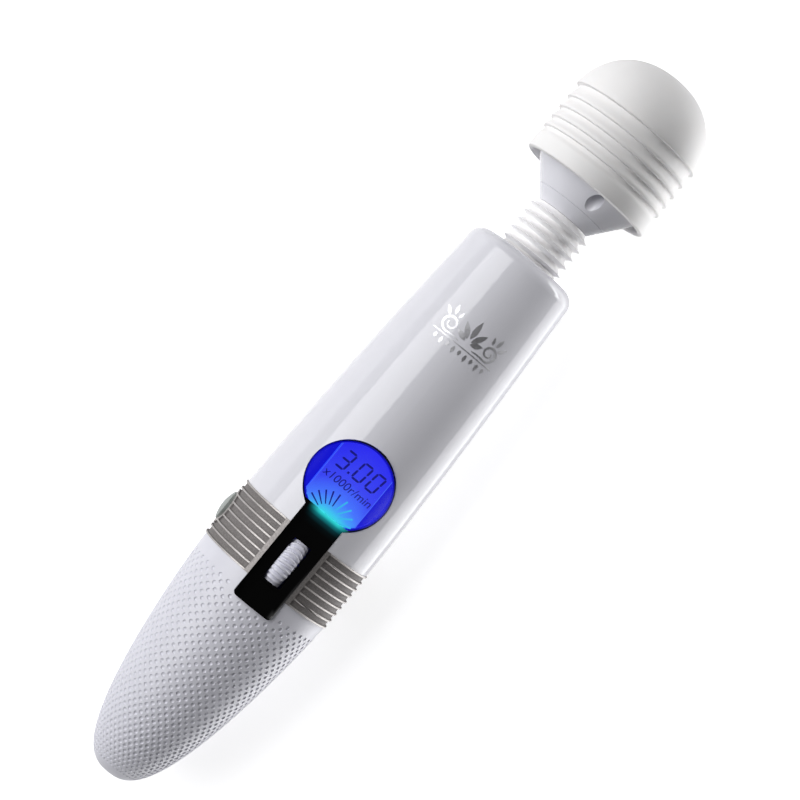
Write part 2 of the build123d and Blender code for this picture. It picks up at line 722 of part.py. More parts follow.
def make_motor_armature():
    """Three-pole armature and its commutator."""
    start = armature_start()
    core = Circle(armature_radius())
    for place in PolarLocations(armature_radius(), 3, start_angle=30):
        core -= place * Rectangle(armature_radius(), 1.6)
    core -= Circle(MOTOR_SHAFT_RADIUS)
    face = Plane(origin=(start, 0, 0), x_dir=(0, 1, 0), z_dir=(1, 0, 0))
    poles = extrude(face * core, ARMATURE_LENGTH)
    return poles + tube(start - 4, start + 0.5, 3.2, MOTOR_SHAFT_RADIUS)


def make_motor_shaft():
    return rod(motor_start() + 1.2, motor_face() + BRACKET_THICKNESS + MOTOR_SHAFT_REACH, MOTOR_SHAFT_RADIUS)


def motor_screw_places():
    x = bracket_start() + BRACKET_THICKNESS
    return [(x, side * MOTOR_SCREW_CIRCLE, 0) for side in (-1, 1)]


def make_motor_bracket():
    start = bracket_start()
    plate = rod(start, start + BRACKET_THICKNESS, RAIL_INSIDE - SNUG)
    plate -= rod(start - 1, start + 5, MOTOR_SHAFT_RADIUS + 1.5)
    for x, y, z in motor_screw_places():
        plate -= rod(x - 6, x + 2, MOTOR_SCREW_RADIUS + SHAFT_FIT, y, z)
    return plate


def screw(under_head, radius, reach, y, z, head_height=1.3):
    """A pan head screw along the wand, its head on the head side."""
    shank = rod(under_head - reach, under_head + 0.2, radius, y, z)
    return shank + rod(under_head, under_head + head_height, radius * 1.8, y, z)


def make_motor_screws():
    screws = Part()
    for x, y, z in motor_screw_places():
        screws += screw(x, MOTOR_SCREW_RADIUS, 4.5, y, z)
    return screws


def make_motor_damper():
    start = motor_start() + MOTOR_LENGTH / 2 - DAMPER_LENGTH / 2
    return tube(start, start + DAMPER_LENGTH, RAIL_INSIDE - SNUG, MOTOR_RADIUS + SHAFT_FIT)


# ---------------------------------------------------------------- neck
def retainer_radius():
    return BELLOWS_ROOT_RADIUS + 0.8


def retainer_base():
    return top_plate_start() + BULKHEAD_THICKNESS


def neck_screw_places():
    places = []
    for i in range(3):
        y, z = around(RETAINER_FLANGE_RADIUS - 2.4, 60 + 120 * i)
        places.append((retainer_base() + RETAINER_FLANGE, y, z))
    return places


def make_neck_retainer():
    base = retainer_base()
    inner = retainer_radius() - RETAINER_WALL
    ring = tube(base, SHOULDER + RETAINER_PROUD, retainer_radius(), inner)
    ring += tube(base, base + RETAINER_FLANGE, RETAINER_FLANGE_RADIUS, inner)
    for x, y, z in neck_screw_places():
        ring -= rod(x - 6, x + 2, MOTOR_SCREW_RADIUS + SHAFT_FIT, y, z)
        ring -= rod(x - 1.4, x + 2, MOTOR_SCREW_RADIUS * 1.8 + SNUG, y, z)
    return ring


def make_neck_screws():
    screws = Part()
    for x, y, z in neck_screw_places():
        screws += screw(x - 1.4, MOTOR_SCREW_RADIUS, 4.0, y, z, 1.2)
    return screws


def bellows_bottom():
    return SHOULDER + RETAINER_PROUD + SNUG


def bellows_top():
    return COLLAR_START - SNUG


def make_neck_bellows():
    """Sharp crests that lean towards the tail, with a plug at each end."""
    pitch = (bellows_top() - bellows_bottom()) / BELLOWS_CRESTS
    plug = retainer_radius() - RETAINER_WALL - SNUG
    head_plug = collar_bore() - SNUG
    outer = []
    inner = []
    for i in range(BELLOWS_CRESTS):
        root = bellows_bottom() + pitch * i
        crest = root + pitch * BELLOWS_LEAN
        outer += [(root, BELLOWS_ROOT_RADIUS), (crest, BELLOWS_CREST_RADIUS)]
        inner.append((root, BELLOWS_ROOT_RADIUS - BELLOWS_WALL))
        inner.append((crest, BELLOWS_CREST_RADIUS - BELLOWS_WALL * 1.5))
    outer.append((bellows_top(), BELLOWS_ROOT_RADIUS))
    inner.append((bellows_top(), BELLOWS_ROOT_RADIUS - BELLOWS_WALL))
    low = bellows_bottom() - 5
    high = bellows_top() + 4
    lower_bore = plug - BELLOWS_END_WALL
    upper_bore = head_plug - BELLOWS_END_WALL
    points = [(low, lower_bore), (low, plug), (bellows_bottom(), plug)] + outer
    points += [(bellows_top(), head_plug), (high, head_plug), (high, upper_bore)]
    points += [(bellows_top() - 0.6, upper_bore)] + inner[-2:0:-1] + [(bellows_bottom() + 0.6, lower_bore)]
    return turned(points)


def coupling_span():
    low = motor_face() + BRACKET_THICKNESS + MOTOR_SHAFT_REACH - 6
    return low, eccentric_start() + 3.0


def make_flex_coupling():
    """Ribbed rubber sleeve that turns the head's shaft while the neck is bent."""
    low, high = coupling_span()
    waist = COUPLING_RADIUS - 0.9
    ribs_from = low + 7
    pitch = (high - 4 - ribs_from) / COUPLING_RIBS
    points = [(low, 0), (low, COUPLING_RADIUS), (ribs_from, COUPLING_RADIUS)]
    for i in range(COUPLING_RIBS):
        x = ribs_from + pitch * i
        points += [(x + 0.25 * pitch, waist), (x + 0.75 * pitch, waist), (x + pitch, COUPLING_RADIUS)]
    points += [(high, COUPLING_RADIUS), (high, 0)]
    sleeve = turned(points)
    sleeve -= rod(low - 1, low + 6.2, MOTOR_SHAFT_RADIUS)
    return sleeve - rod(high - 3.2, high + 1, BEARING_BORE + SHAFT_FIT)


# ---------------------------------------------------------------- head
def collar_bore():
    return COLLAR_RADIUS - 1.3


def hub_floor():
    return CONE_START + COLLAR_SPIGOT + SNUG


def make_neck_collar():
    spigot = COLLAR_TOP_RADIUS - 1.9
    return turned([
        (COLLAR_START, collar_bore()),
        (COLLAR_START, COLLAR_RADIUS - 0.3),
        (COLLAR_START + 0.3, COLLAR_RADIUS),
        (CONE_START - 0.12, COLLAR_TOP_RADIUS - 0.1),
        (CONE_START, COLLAR_TOP_RADIUS - 0.22),
        (CONE_START, spigot),
        (CONE_START + COLLAR_SPIGOT, spigot),
        (CONE_START + COLLAR_SPIGOT, collar_bore()),
    ])


def cone_radius(x):
    return COLLAR_TOP_RADIUS + (CONE_TOP_RADIUS - COLLAR_TOP_RADIUS) * (x - CONE_START) / CONE_LENGTH


def head_screw_places():
    return [
        around(HEAD_SCREW_CIRCLE, HEAD_SCREW_TURN + TURN / HEAD_SCREW_COUNT * i)
        for i in range(HEAD_SCREW_COUNT)
    ]


def counterbore_floor():
    return CONE_RIM - COUNTERBORE_FLOOR


def make_head_cone():
    slant = WALL * sqrt(1 + ((CONE_TOP_RADIUS - COLLAR_TOP_RADIUS) / CONE_LENGTH) ** 2)
    slope_end = CONE_START + CONE_LENGTH
    floor_top = hub_floor() + WALL
    seat = BEARING_OUTER + SHAFT_FIT
    shell = turned([
        (CONE_START, COLLAR_TOP_RADIUS - 1.9 + SNUG),
        (CONE_START, COLLAR_TOP_RADIUS - 0.12),
        (CONE_START + 0.12, COLLAR_TOP_RADIUS + 0.1),
        (slope_end, CONE_TOP_RADIUS),
        (CONE_RIM, CONE_TOP_RADIUS),
        (CONE_RIM, CONE_TOP_RADIUS - WALL),
        (slope_end + 0.6, CONE_TOP_RADIUS - WALL),
        (floor_top, cone_radius(floor_top) - slant),
        (floor_top, BEARING_OUTER + HUB_WALL),
        (bearing_low() + BEARING_WIDTH, BEARING_OUTER + HUB_WALL),
        (bearing_low() + BEARING_WIDTH, seat),
        (bearing_low(), seat),
        (bearing_low(), BEARING_OUTER - 2),
        (hub_floor(), BEARING_OUTER - 2),
        (hub_floor(), COLLAR_TOP_RADIUS - 1.9 + SNUG),
    ])
    envelope = turned([
        (CONE_START, 0),
        (CONE_START, COLLAR_TOP_RADIUS),
        (slope_end, CONE_TOP_RADIUS),
        (CONE_RIM, CONE_TOP_RADIUS),
        (CONE_RIM, 0),
    ])
    for y, z in head_screw_places():
        shell += rod(floor_top - 1, CONE_RIM, COUNTERBORE_RADIUS + BOSS_WALL, y, z) & envelope
        shell -= rod(COLLAR_START, counterbore_floor(), COUNTERBORE_RADIUS, y, z)
        shell -= rod(COLLAR_START, CONE_RIM + 1, HEAD_SCREW_RADIUS + SHAFT_FIT, y, z)
    y, z = around(1, NOTCH_TURN)
    corner = (slope_end - 0.6, y * CONE_TOP_RADIUS, z * CONE_TOP_RADIUS)
    face = Plane(origin=corner, z_dir=(0, y, z), x_dir=(1, 0, 0))
    return shell - face * Box(*NOTCH_SIZE)


def make_head_screws():
    screws = Part()
    for y, z in head_screw_places():
        floor = counterbore_floor()
        screws += rod(floor - 0.2, CONE_RIM + HEAD_SCREW_GRIP - 0.5, HEAD_SCREW_RADIUS, y, z)
        head = rod(floor - 1.7, floor, COUNTERBORE_RADIUS - SNUG, y, z)
        cross = slab((floor - 2.7, floor - 0.9), (y - 1.5, y + 1.5), (z - 0.3, z + 0.3))
        cross += slab((floor - 2.7, floor - 0.9), (y - 0.3, y + 0.3), (z - 1.5, z + 1.5))
        screws += head - cross
    return screws


def core_radius():
    return CAP_RIM_RADIUS - CAP_WALL + 0.2


def dome_profile(radius_inset, length_inset):
    """Half section of a dome under the cap's crown."""
    base = DOME_START
    points = nose(base, DOME_LENGTH - length_inset, CAP_RADIUS - radius_inset, DOME_POWERS)
    return points


def bearing_low():
    return hub_floor() + 0.8


def bearing_high():
    return DOME_START + 2.0


def make_head_core():
    radius = core_radius() - SNUG
    points = dome_profile(CAP_RADIUS - radius, CAP_WALL + SNUG)
    body = turned_edges([
        Line((CONE_RIM, 0), (CONE_RIM, radius)),
        Line((CONE_RIM, radius), points[0]),
        Spline(*points, tangents=[(1, 0), (0, -1)]),
        Line(points[-1], (CONE_RIM, 0)),
    ])
    body -= rod(CONE_RIM - 1, bearing_high() - 0.5, CONE_TOP_RADIUS - WALL)
    body -= rod(bearing_high() - 1, bearing_high() + BEARING_WIDTH, BEARING_OUTER + SHAFT_FIT)
    body -= rod(bearing_high(), bearing_high() + BEARING_WIDTH + 2.5, BEARING_BORE + 1.2)
    for y, z in head_screw_places():
        boss = rod(CONE_RIM, CONE_RIM + HEAD_SCREW_GRIP, COUNTERBORE_RADIUS + BOSS_WALL, y, z)
        body += boss
        body -= rod(CONE_RIM - 1, CONE_RIM + HEAD_SCREW_GRIP - 0.4, HEAD_SCREW_RADIUS + SHAFT_FIT, y, z)
    return body


def make_bearing(start):
    """Ball bearing as its two races and a closed shield between them."""
    outer = tube(start, start + BEARING_WIDTH, BEARING_OUTER, BEARING_OUTER - 1.5)
    inner = tube(start, start + BEARING_WIDTH, BEARING_BORE + SHAFT_FIT + 1.4, BEARING_BORE + SHAFT_FIT)
    inner_race = BEARING_BORE + SHAFT_FIT + 1.4
    shield = tube(start + 0.4, start + BEARING_WIDTH - 0.4, BEARING_OUTER - 1.5, inner_race)
    return outer + inner + shield


def make_silicone_cap():
    inner = core_radius()
    inside = dome_profile(CAP_RADIUS - inner, CAP_WALL)
    pitch = (DOME_START - CAP_START - CAP_RIM_LENGTH) / (CAP_RING_COUNT + 1)
    lip = 0.9
    points = [(CAP_START + lip, CAP_RIM_RADIUS), (CAP_START + CAP_RIM_LENGTH - 0.5, CAP_RIM_RADIUS)]
    for i in range(CAP_RING_COUNT):
        x = CAP_START + CAP_RIM_LENGTH + pitch * (i + 0.5)
        points += [(x - 0.35 * pitch, CAP_GROOVE_RADIUS), (x - 0.15 * pitch, CAP_RING_RADIUS)]
        points += [(x + 0.25 * pitch, CAP_RING_RADIUS)]
    points += [(DOME_START - 0.45 * pitch, CAP_GROOVE_RADIUS), (DOME_START - 0.2 * pitch, CAP_RADIUS)]
    dome = dome_profile(0, 0)
    edges = [
        ThreePointArc(
            (CAP_START + lip, CAP_RIM_RADIUS),
            (CAP_START, CAP_RIM_RADIUS - lip * 1.4),
            (CAP_START + lip * 0.8, CAP_RIM_RADIUS - lip * 2.8),
        ),
        Line((CAP_START + lip * 0.8, CAP_RIM_RADIUS - lip * 2.8), (CAP_START + 2.4, inner)),
        Line((CAP_START + 2.4, inner), inside[0]),
        Spline(*inside, tangents=[(1, 0), (0, -1)]),
        Line(inside[-1], dome[-1]),
        Spline(*dome[::-1], tangents=[(0, 1), (-1, 0)]),
        Polyline(*([dome[0]] + points[::-1])),
    ]
    return turned_edges(edges)


# ---------------------------------------------------------------- eccentric
def eccentric_start():
    return COLLAR_START + 3.0


def weight_start():
    return CONE_RIM + HEAD_SCREW_GRIP + 1.5


def make_eccentric_shaft():
    return rod(eccentric_start(), bearing_high() + BEARING_WIDTH + 1, BEARING_BORE)


def make_eccentric_weight():
    """Half disc hung under the shaft, clamped by one grub screw."""
    start = weight_start()
    end = start + WEIGHT_LENGTH
    half = rod(start, end, WEIGHT_RADIUS) & slab((start, end), (-20, 20), (-20, 0))
    body = half + rod(start, end, WEIGHT_HUB_RADIUS)
    body -= rod(start - 1, end + 1, BEARING_BORE + SHAFT_FIT / 5)
    middle = (start + end) / 2
    return body - Pos(middle, 0, WEIGHT_HUB_RADIUS) * Cylinder(WEIGHT_SCREW_RADIUS + SHAFT_FIT / 5, 6)


def make_weight_screw():
    middle = weight_start() + WEIGHT_LENGTH / 2
    low = BEARING_BORE + SHAFT_FIT
    length = WEIGHT_HUB_RADIUS - low
    return Pos(middle, 0, low + length / 2) * Cylinder(WEIGHT_SCREW_RADIUS, length)


# ---------------------------------------------------------------- all pieces
PIECES = {
    "grip_shell": make_grip_shell,
    "silver_band": make_silver_band,
    "upper_shell": make_upper_shell,
    "display_lens": make_display_lens,
    "lens_gasket": make_lens_gasket,
    "display_tray": make_display_tray,
    "lcd_module": make_lcd_module,
    "backlight": make_backlight,
    "main_board": make_main_board,
    "board_screws": make_board_screws,
    "chassis": make_chassis,
    "battery_cell": make_battery_cell,
    "battery_cradle": make_battery_cradle,
    "battery_contacts": make_battery_contacts,
    "charge_socket": make_charge_socket,
    "thumb_wheel": make_thumb_wheel,
    "wheel_axle": make_wheel_axle,
    "wheel_bracket": make_wheel_bracket,
    "speed_sensor": make_speed_sensor,
    "mode_button": make_mode_button,
    "tact_switch": make_tact_switch,
    "switch_board": make_switch_board,
    "button_dome": make_button_dome,
    "motor_can": make_motor_can,
    "motor_end_cap": make_motor_end_cap,
    "motor_magnets": make_motor_magnets,
    "motor_armature": make_motor_armature,
    "motor_shaft": make_motor_shaft,
    "motor_bracket": make_motor_bracket,
    "motor_screws": make_motor_screws,
    "motor_damper": make_motor_damper,
    "neck_retainer": make_neck_retainer,
    "neck_screws": make_neck_screws,
    "neck_bellows": make_neck_bellows,
    "flex_coupling": make_flex_coupling,
    "neck_collar": make_neck_collar,
    "head_cone": make_head_cone,
    "head_screws": make_head_screws,
    "head_core": make_head_core,
    "lower_bearing": lambda: make_bearing(bearing_low()),
    "upper_bearing": lambda: make_bearing(bearing_high()),
    "silicone_cap": make_silicone_cap,
    "eccentric_shaft": make_eccentric_shaft,
    "eccentric_weight": make_eccentric_weight,
    "weight_screw": make_weight_screw,
}

os.makedirs("parts", exist_ok=True)
for piece_name, make_piece in PIECES.items():
    publish(piece_name, make_piece())
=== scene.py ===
"""Handheld wand massager: finishes, fine shapes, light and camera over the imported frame."""
import logging
from dataclasses import dataclass
from enum import Enum
from math import asin, cos, hypot, pi, radians, sin

import bmesh
import bpy
from mathutils import Matrix, Vector


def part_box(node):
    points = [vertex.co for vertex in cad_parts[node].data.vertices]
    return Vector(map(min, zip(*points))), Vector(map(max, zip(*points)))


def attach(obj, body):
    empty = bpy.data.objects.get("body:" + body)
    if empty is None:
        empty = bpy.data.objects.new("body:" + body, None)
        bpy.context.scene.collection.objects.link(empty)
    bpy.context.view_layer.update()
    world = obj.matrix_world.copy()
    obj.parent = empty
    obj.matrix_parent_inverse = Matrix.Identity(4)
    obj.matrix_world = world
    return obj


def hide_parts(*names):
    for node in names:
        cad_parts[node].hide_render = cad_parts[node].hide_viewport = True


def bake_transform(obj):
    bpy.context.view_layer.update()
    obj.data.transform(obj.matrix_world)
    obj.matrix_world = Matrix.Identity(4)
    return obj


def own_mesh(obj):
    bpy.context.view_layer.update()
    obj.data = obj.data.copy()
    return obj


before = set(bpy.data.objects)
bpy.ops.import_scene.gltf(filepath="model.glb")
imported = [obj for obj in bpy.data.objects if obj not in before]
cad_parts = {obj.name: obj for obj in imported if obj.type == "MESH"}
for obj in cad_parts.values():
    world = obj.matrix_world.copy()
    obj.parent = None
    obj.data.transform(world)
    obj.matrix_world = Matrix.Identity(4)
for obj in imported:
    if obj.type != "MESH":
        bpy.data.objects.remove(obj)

log = logging.getLogger("wand")

MIDDLE = 145.0      # mm from the tail tip to the frame's origin
AXIS_HEIGHT = 25.1  # mm from the floor to the wand's axis
Point = tuple[float, float]


class Side(Enum):
    """Which side of a cut is kept."""

    TAIL = "tail"
    HEAD = "head"


# ---------------------------------------------------------------- shared tools
def linear(code: str) -> tuple[float, float, float, float]:
    """Turns an sRGB hex colour to linear.

    Args:
        code: the colour, as "#RRGGBB".

    Returns:
        Linear red, green, blue and an alpha of 1.
    """
    parts = [int(code[i:i + 2], 16) / 255 for i in (1, 3, 5)]
    return tuple(c / 12.92 if c <= 0.04045 else ((c + 0.055) / 1.055) ** 2.4 for c in parts) + (1.0,)


def plug(tree: bpy.types.NodeTree, node: bpy.types.Node, inputs: dict) -> None:
    """Sets or links a node's inputs.

    Args:
        tree: the node tree.
        node: the node.
        inputs: socket name or number to a value, or to the output socket that feeds it.
    """
    for key, value in inputs.items():
        if isinstance(value, bpy.types.NodeSocket):
            tree.links.new(value, node.inputs[key])
        else:
            node.inputs[key].default_value = value


def add_node(tree: bpy.types.NodeTree, kind: str, inputs: dict | None = None, **settings) -> bpy.types.Node:
    """Adds a node with its settings and links.

    Args:
        tree: the node tree.
        kind: the node's type.
        inputs: socket name or number to a value, or to the output socket that feeds it.
        **settings: the node's own attributes.

    Returns:
        The new node.
    """
    made = tree.nodes.new(kind)
    for name, value in settings.items():
        setattr(made, name, value)
    plug(tree, made, inputs or {})
    return made


def start_material(name: str) -> tuple[bpy.types.Material, bpy.types.NodeTree, bpy.types.Node, bpy.types.NodeSocket]:
    """Starts a material.

    Args:
        name: its name.

    Returns:
        The material, its tree, its shader, and the place on the piece that its patterns follow.
    """
    made = bpy.data.materials.new(name)
    made.use_nodes = True
    tree = made.node_tree
    return made, tree, tree.nodes["Principled BSDF"], add_node(tree, "ShaderNodeTexCoord").outputs["Object"]


def fill_ramp(ramp: bpy.types.Node, stops: tuple[tuple[float, str], ...]) -> None:
    """Sets a colour ramp's stops.

    Args:
        ramp: the ramp node.
        stops: position and colour of each stop, in order.
    """
    elements = ramp.color_ramp.elements
    for element, (position, colour) in zip((elements[0], elements[1]), (stops[0], stops[-1])):
        element.position = position
        element.color = linear(colour)
    for position, colour in stops[1:-1]:
        elements.new(position).color = linear(colour)


def place(s: float, radius: float, turn: float) -> Vector:
    """A point on the wand.

    Args:
        s: mm from the tail tip.
        radius: mm from the axis.
        turn: radians from the front towards -Y.

    Returns:
        The point in the row frame, in metres.
    """
    return Vector((s - MIDDLE, -radius * sin(turn), AXIS_HEIGHT + radius * cos(turn))) / 1000


def bridge(work: bmesh.types.BMesh, loops: list[list[bmesh.types.BMVert]]) -> None:
    """Joins each closed loop of points to the next one.

    Args:
        work: the bmesh that holds them.
        loops: loops with the same number of points.
    """
    for near, far in zip(loops, loops[1:]):
        for i in range(len(near)):
            j = (i + 1) % len(near)
            work.faces.new((near[i], near[j], far[j], far[i]))


def lathe(profile: list[Point], segments: int) -> bpy.types.Mesh:
    """Turns a closed outline about the wand's axis.

    Args:
        profile: (s, radius) corners of the outline, in mm.
        segments: how many steps go round.

    Returns:
        The mesh, smooth except at its sharp edges.
    """
    work = bmesh.new()
    rings = [[work.verts.new(place(s, r, 2 * pi * i / segments)) for i in range(segments)] for s, r in profile]
    bridge(work, rings + rings[:1])
    return finished(work)


def finished(work: bmesh.types.BMesh, sharp: float = 34.0) -> bpy.types.Mesh:
    """Closes a bmesh into a mesh.

    Args:
        work: the bmesh, which is freed.
        sharp: edges that turn by more degrees than this stay sharp.

    Returns:
        The mesh.
    """
    bmesh.ops.remove_doubles(work, verts=work.verts, dist=2e-6)
    bmesh.ops.recalc_face_normals(work, faces=work.faces)
    mesh = bpy.data.meshes.new("mesh")
    work.to_mesh(mesh)
    work.free()
    mesh.shade_smooth()
    mesh.set_sharp_from_angle(angle=radians(sharp))
    return mesh


def piece(name: str, mesh: bpy.types.Mesh, body: str | None, finish: bpy.types.Material,
          stands_for: tuple[str, ...] = ()) -> bpy.types.Object:
    """Adds a visible piece.

    Args:
        name: the piece's name.
        mesh: its mesh, in the row frame.
        body: the body that it rides on, or None.
        finish: its material.
        stands_for: CAD nodes that it replaces.

    Returns:
        The new object.
    """
    mesh.materials.clear()
    mesh.materials.append(finish)
    made = bpy.data.objects.new(name, mesh)
    bpy.context.scene.collection.objects.link(made)
    if body:
        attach(made, body)
    if stands_for:
        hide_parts(*stands_for)
    log.info("%s: %d faces", name, len(mesh.polygons))
    return made


def dress(node: str, finish: bpy.types.Material) -> None:
    """Gives a CAD node its finish in all its slots."""
    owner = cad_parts[node]
    owner.data.materials.clear()
    owner.data.materials.append(finish)
    log.info("%s: dressed in %s", node, finish.name)


def add_block(work: bmesh.types.BMesh, outline: list[Point], low: float, high: float) -> None:
    """Adds a closed block between two levels.

    Args:
        work: the bmesh to add to.
        outline: (s, y) corners in mm, in order.
        low: lower level over the floor, in mm.
        high: upper level.
    """
    levels = [[work.verts.new(Vector((s - MIDDLE, y, z)) / 1000) for s, y in outline] for z in (low, high)]
    bridge(work, levels)
    for level in levels:
        work.faces.new(level)


def blocks(outlines: list[list[Point]], low: float, high: float) -> bpy.types.Mesh:
    """Several blocks between the same two levels.

    Args:
        outlines: the (s, y) corners of each block, in mm.
        low: lower level over the floor, in mm.
        high: upper level.

    Returns:
        All of them as one mesh.
    """
    work = bmesh.new()
    for outline in outlines:
        add_block(work, outline, low, high)
    return finished(work)


def solid_of(node: str) -> bmesh.types.BMesh:
    """The shape of a CAD node, where it lies in the row frame."""
    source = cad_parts[node]
    work = bmesh.new()
    work.from_mesh(source.data)
    work.transform(source.matrix_world)
    bmesh.ops.remove_doubles(work, verts=work.verts, dist=1e-6)
    return work


def cut_across(work: bmesh.types.BMesh, x: float, side: Side | None = None) -> None:
    """Cuts a closed shape across the wand.

    Args:
        work: the shape.
        x: where it is cut, in metres.
        side: the part that is kept and closed again, or None where the cut only adds a ring of points.
    """
    found = bmesh.ops.bisect_plane(
        work, geom=work.verts[:] + work.edges[:] + work.faces[:], dist=1e-7,
        plane_co=(x, 0, 0), plane_no=(1, 0, 0),
        clear_outer=side is Side.TAIL, clear_inner=side is Side.HEAD,
    )
    if side:
        bmesh.ops.holes_fill(work, edges=[e for e in found["geom_cut"] if isinstance(e, bmesh.types.BMEdge)])


# ---------------------------------------------------------------- finishes
@dataclass(frozen=True)
class Moulded:
    """Injection-moulded plastic or rubber: one body colour, faint flow mottling and the mould's own skin."""

    name: str
    colour: str
    roughness: float
    mottle_mm: float = 9.0       # flow marks in the colour
    mottle: float = 0.02
    skin_mm: float = 0.35        # the mould's spark-eroded skin
    skin_depth_mm: float = 0.004
    ior: float = 1.5
    glow_through: float = 0.0    # light that enters pale rubber and comes out beside
    specular: float = 0.5
    patches: float = 0.12        # share that the roughness varies by
    scatter_mm: float = 1.2      # how far light travels in pale rubber

    def material(self) -> bpy.types.Material:
        """Builds the material."""
        made, tree, shader, spot = start_material(self.name)
        flow = add_node(tree, "ShaderNodeTexNoise", {"Vector": spot, "Scale": 1000 / self.mottle_mm, "Detail": 3.0})
        base = linear(self.colour)
        deep = tuple(c * (1 - self.mottle * 2) for c in base[:3]) + (1.0,)
        # a colour mix has its two colours at sockets 6 and 7, after the number and vector ones
        tint = add_node(tree, "ShaderNodeMix", {"Factor": flow.outputs["Fac"], 6: base, 7: deep}, data_type="RGBA")
        skin = add_node(tree, "ShaderNodeTexNoise", {"Vector": spot, "Scale": 1000 / self.skin_mm, "Detail": 2.0})
        rough = add_node(tree, "ShaderNodeMapRange", {
            "Value": flow.outputs["Fac"], "From Min": 0.3, "From Max": 0.7,
            "To Min": self.roughness * (1 - self.patches), "To Max": self.roughness * (1 + self.patches),
        })
        bump = add_node(tree, "ShaderNodeBump", {
            "Height": skin.outputs["Fac"], "Distance": self.skin_depth_mm / 1000, "Strength": 0.6,
        })
        plug(tree, shader, {
            "Base Color": tint.outputs[2], "Roughness": rough.outputs["Result"], "Normal": bump.outputs["Normal"],
            "IOR": self.ior, "Specular IOR Level": self.specular,
        })
        if self.glow_through:
            plug(tree, shader, {
                "Subsurface Weight": self.glow_through, "Subsurface Radius": (1.0, 0.9, 0.8),
                "Subsurface Scale": self.scatter_mm / 1000,
            })
        return made


@dataclass(frozen=True)
class Metal:
    """Bare or plated metal with the marks of its making."""

    name: str
    colour: str
    roughness: float
    grain_mm: tuple[float, float, float] = (0.25, 0.25, 0.25)  # length of the marks along X, Y, Z
    grain: float = 0.25          # share that the roughness varies by
    grain_depth_mm: float = 0.005

    def material(self) -> bpy.types.Material:
        """Builds the material."""
        made, tree, shader, spot = start_material(self.name)
        stretch = add_node(tree, "ShaderNodeMapping", {
            "Vector": spot, "Scale": tuple(1000 / length for length in self.grain_mm),
        })
        marks = add_node(tree, "ShaderNodeTexNoise", {
            "Vector": stretch.outputs["Vector"], "Scale": 1.0, "Detail": 3.0,
        })
        rough = add_node(tree, "ShaderNodeMapRange", {
            "Value": marks.outputs["Fac"], "From Min": 0.3, "From Max": 0.7,
            "To Min": self.roughness * (1 - self.grain), "To Max": self.roughness * (1 + self.grain),
        })
        bump = add_node(tree, "ShaderNodeBump", {
            "Height": marks.outputs["Fac"], "Distance": self.grain_depth_mm / 1000, "Strength": 0.5,
        })
        plug(tree, shader, {
            "Base Color": linear(self.colour), "Metallic": 1.0,
            "Roughness": rough.outputs["Result"], "Normal": bump.outputs["Normal"],
        })
        return made


@dataclass(frozen=True)
class RidgedBand:
    """Die-cast zinc, satin nickel plated, with a painted highlight on the ridges' tops and painted shade in the
    grooves.
    """

    name: str = "zinc_satin_nickel"
    # colours of the painted highlight on the ridges' tops and of the painted shade in the grooves
    bright: str = "#AEAAA8"
    groove_shade: str = "#7B7776"
    fleck: float = 0.22          # cast flecks, lighter and darker than the rest
    groove_mm: float = 24.93     # radius where a ridge's flank ends
    top_mm: float = 25.06
    strip_mm: float = 9.1        # the plain strips reach this far from the panel's middle
    strip_highlight: float = 0.25      # how much of the painted highlight the plain strips get
    grain_mm: float = 0.45       # drawn coarser than cast grain, so that it shows
    grain_depth_mm: float = 0.015

    def material(self) -> bpy.types.Material:
        """Builds the material."""
        made, tree, shader, spot = start_material(self.name)
        split = add_node(tree, "ShaderNodeSeparateXYZ", {"Vector": spot})
        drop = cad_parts["silver_band"].matrix_world.translation
        up = add_node(tree, "ShaderNodeMath", {0: split.outputs["Z"], 1: AXIS_HEIGHT / 1000 - drop.z},
                      operation="SUBTRACT")
        across = add_node(tree, "ShaderNodeCombineXYZ", {"Y": split.outputs["Y"], "Z": up.outputs[0]})
        radius = add_node(tree, "ShaderNodeVectorMath", {0: across.outputs[0]}, operation="LENGTH")
        height = add_node(tree, "ShaderNodeMapRange", {
            "Value": radius.outputs["Value"], "From Min": self.groove_mm / 1000, "From Max": self.top_mm / 1000,
        })
        aside = add_node(tree, "ShaderNodeMath", {0: split.outputs["Y"]}, operation="ABSOLUTE")
        ridged = add_node(tree, "ShaderNodeMapRange", {
            "Value": aside.outputs[0], "From Min": self.strip_mm / 1000, "From Max": (self.strip_mm + 0.2) / 1000,
            "To Min": self.strip_highlight, "To Max": 1.0,
        })
        # painted highlight: full on the ridges' tops, less on the plain strips, none in the grooves, where the painted
        # shade shows
        painted_highlight = add_node(tree, "ShaderNodeMath", {0: height.outputs["Result"], 1: ridged.outputs["Result"]},
                          operation="MULTIPLY")
        tint = add_node(tree, "ShaderNodeMix", {
            "Factor": painted_highlight.outputs[0], 6: linear(self.groove_shade), 7: linear(self.bright),
        }, data_type="RGBA")
        # bare and rough in the grooves, plated and smoother on top
        rough, plated = (
            add_node(tree, "ShaderNodeMapRange", {"Value": height.outputs["Result"], "To Min": low, "To Max": high})
            for low, high in ((0.7, 0.5), (0.25, 0.8))
        )
        grain = add_node(tree, "ShaderNodeTexNoise", {"Vector": spot, "Scale": 1000 / self.grain_mm, "Detail": 3.0})
        flecks = add_node(tree, "ShaderNodeMapRange", {
            "Value": grain.outputs["Fac"], "From Min": 0.3, "From Max": 0.7,
            "To Min": 1 - self.fleck, "To Max": 1 + self.fleck,
        })
        cast = add_node(tree, "ShaderNodeVectorMath", {0: tint.outputs[2], "Scale": flecks.outputs["Result"]},
                        operation="SCALE")
        bump = add_node(tree, "ShaderNodeBump", {
            "Height": grain.outputs["Fac"], "Distance": self.grain_depth_mm / 1000, "Strength": 0.5,
        })
        plug(tree, shader, {
            "Base Color": cast.outputs[0], "Roughness": rough.outputs["Result"],
            "Normal": bump.outputs["Normal"], "Metallic": plated.outputs["Result"],
        })
        return made


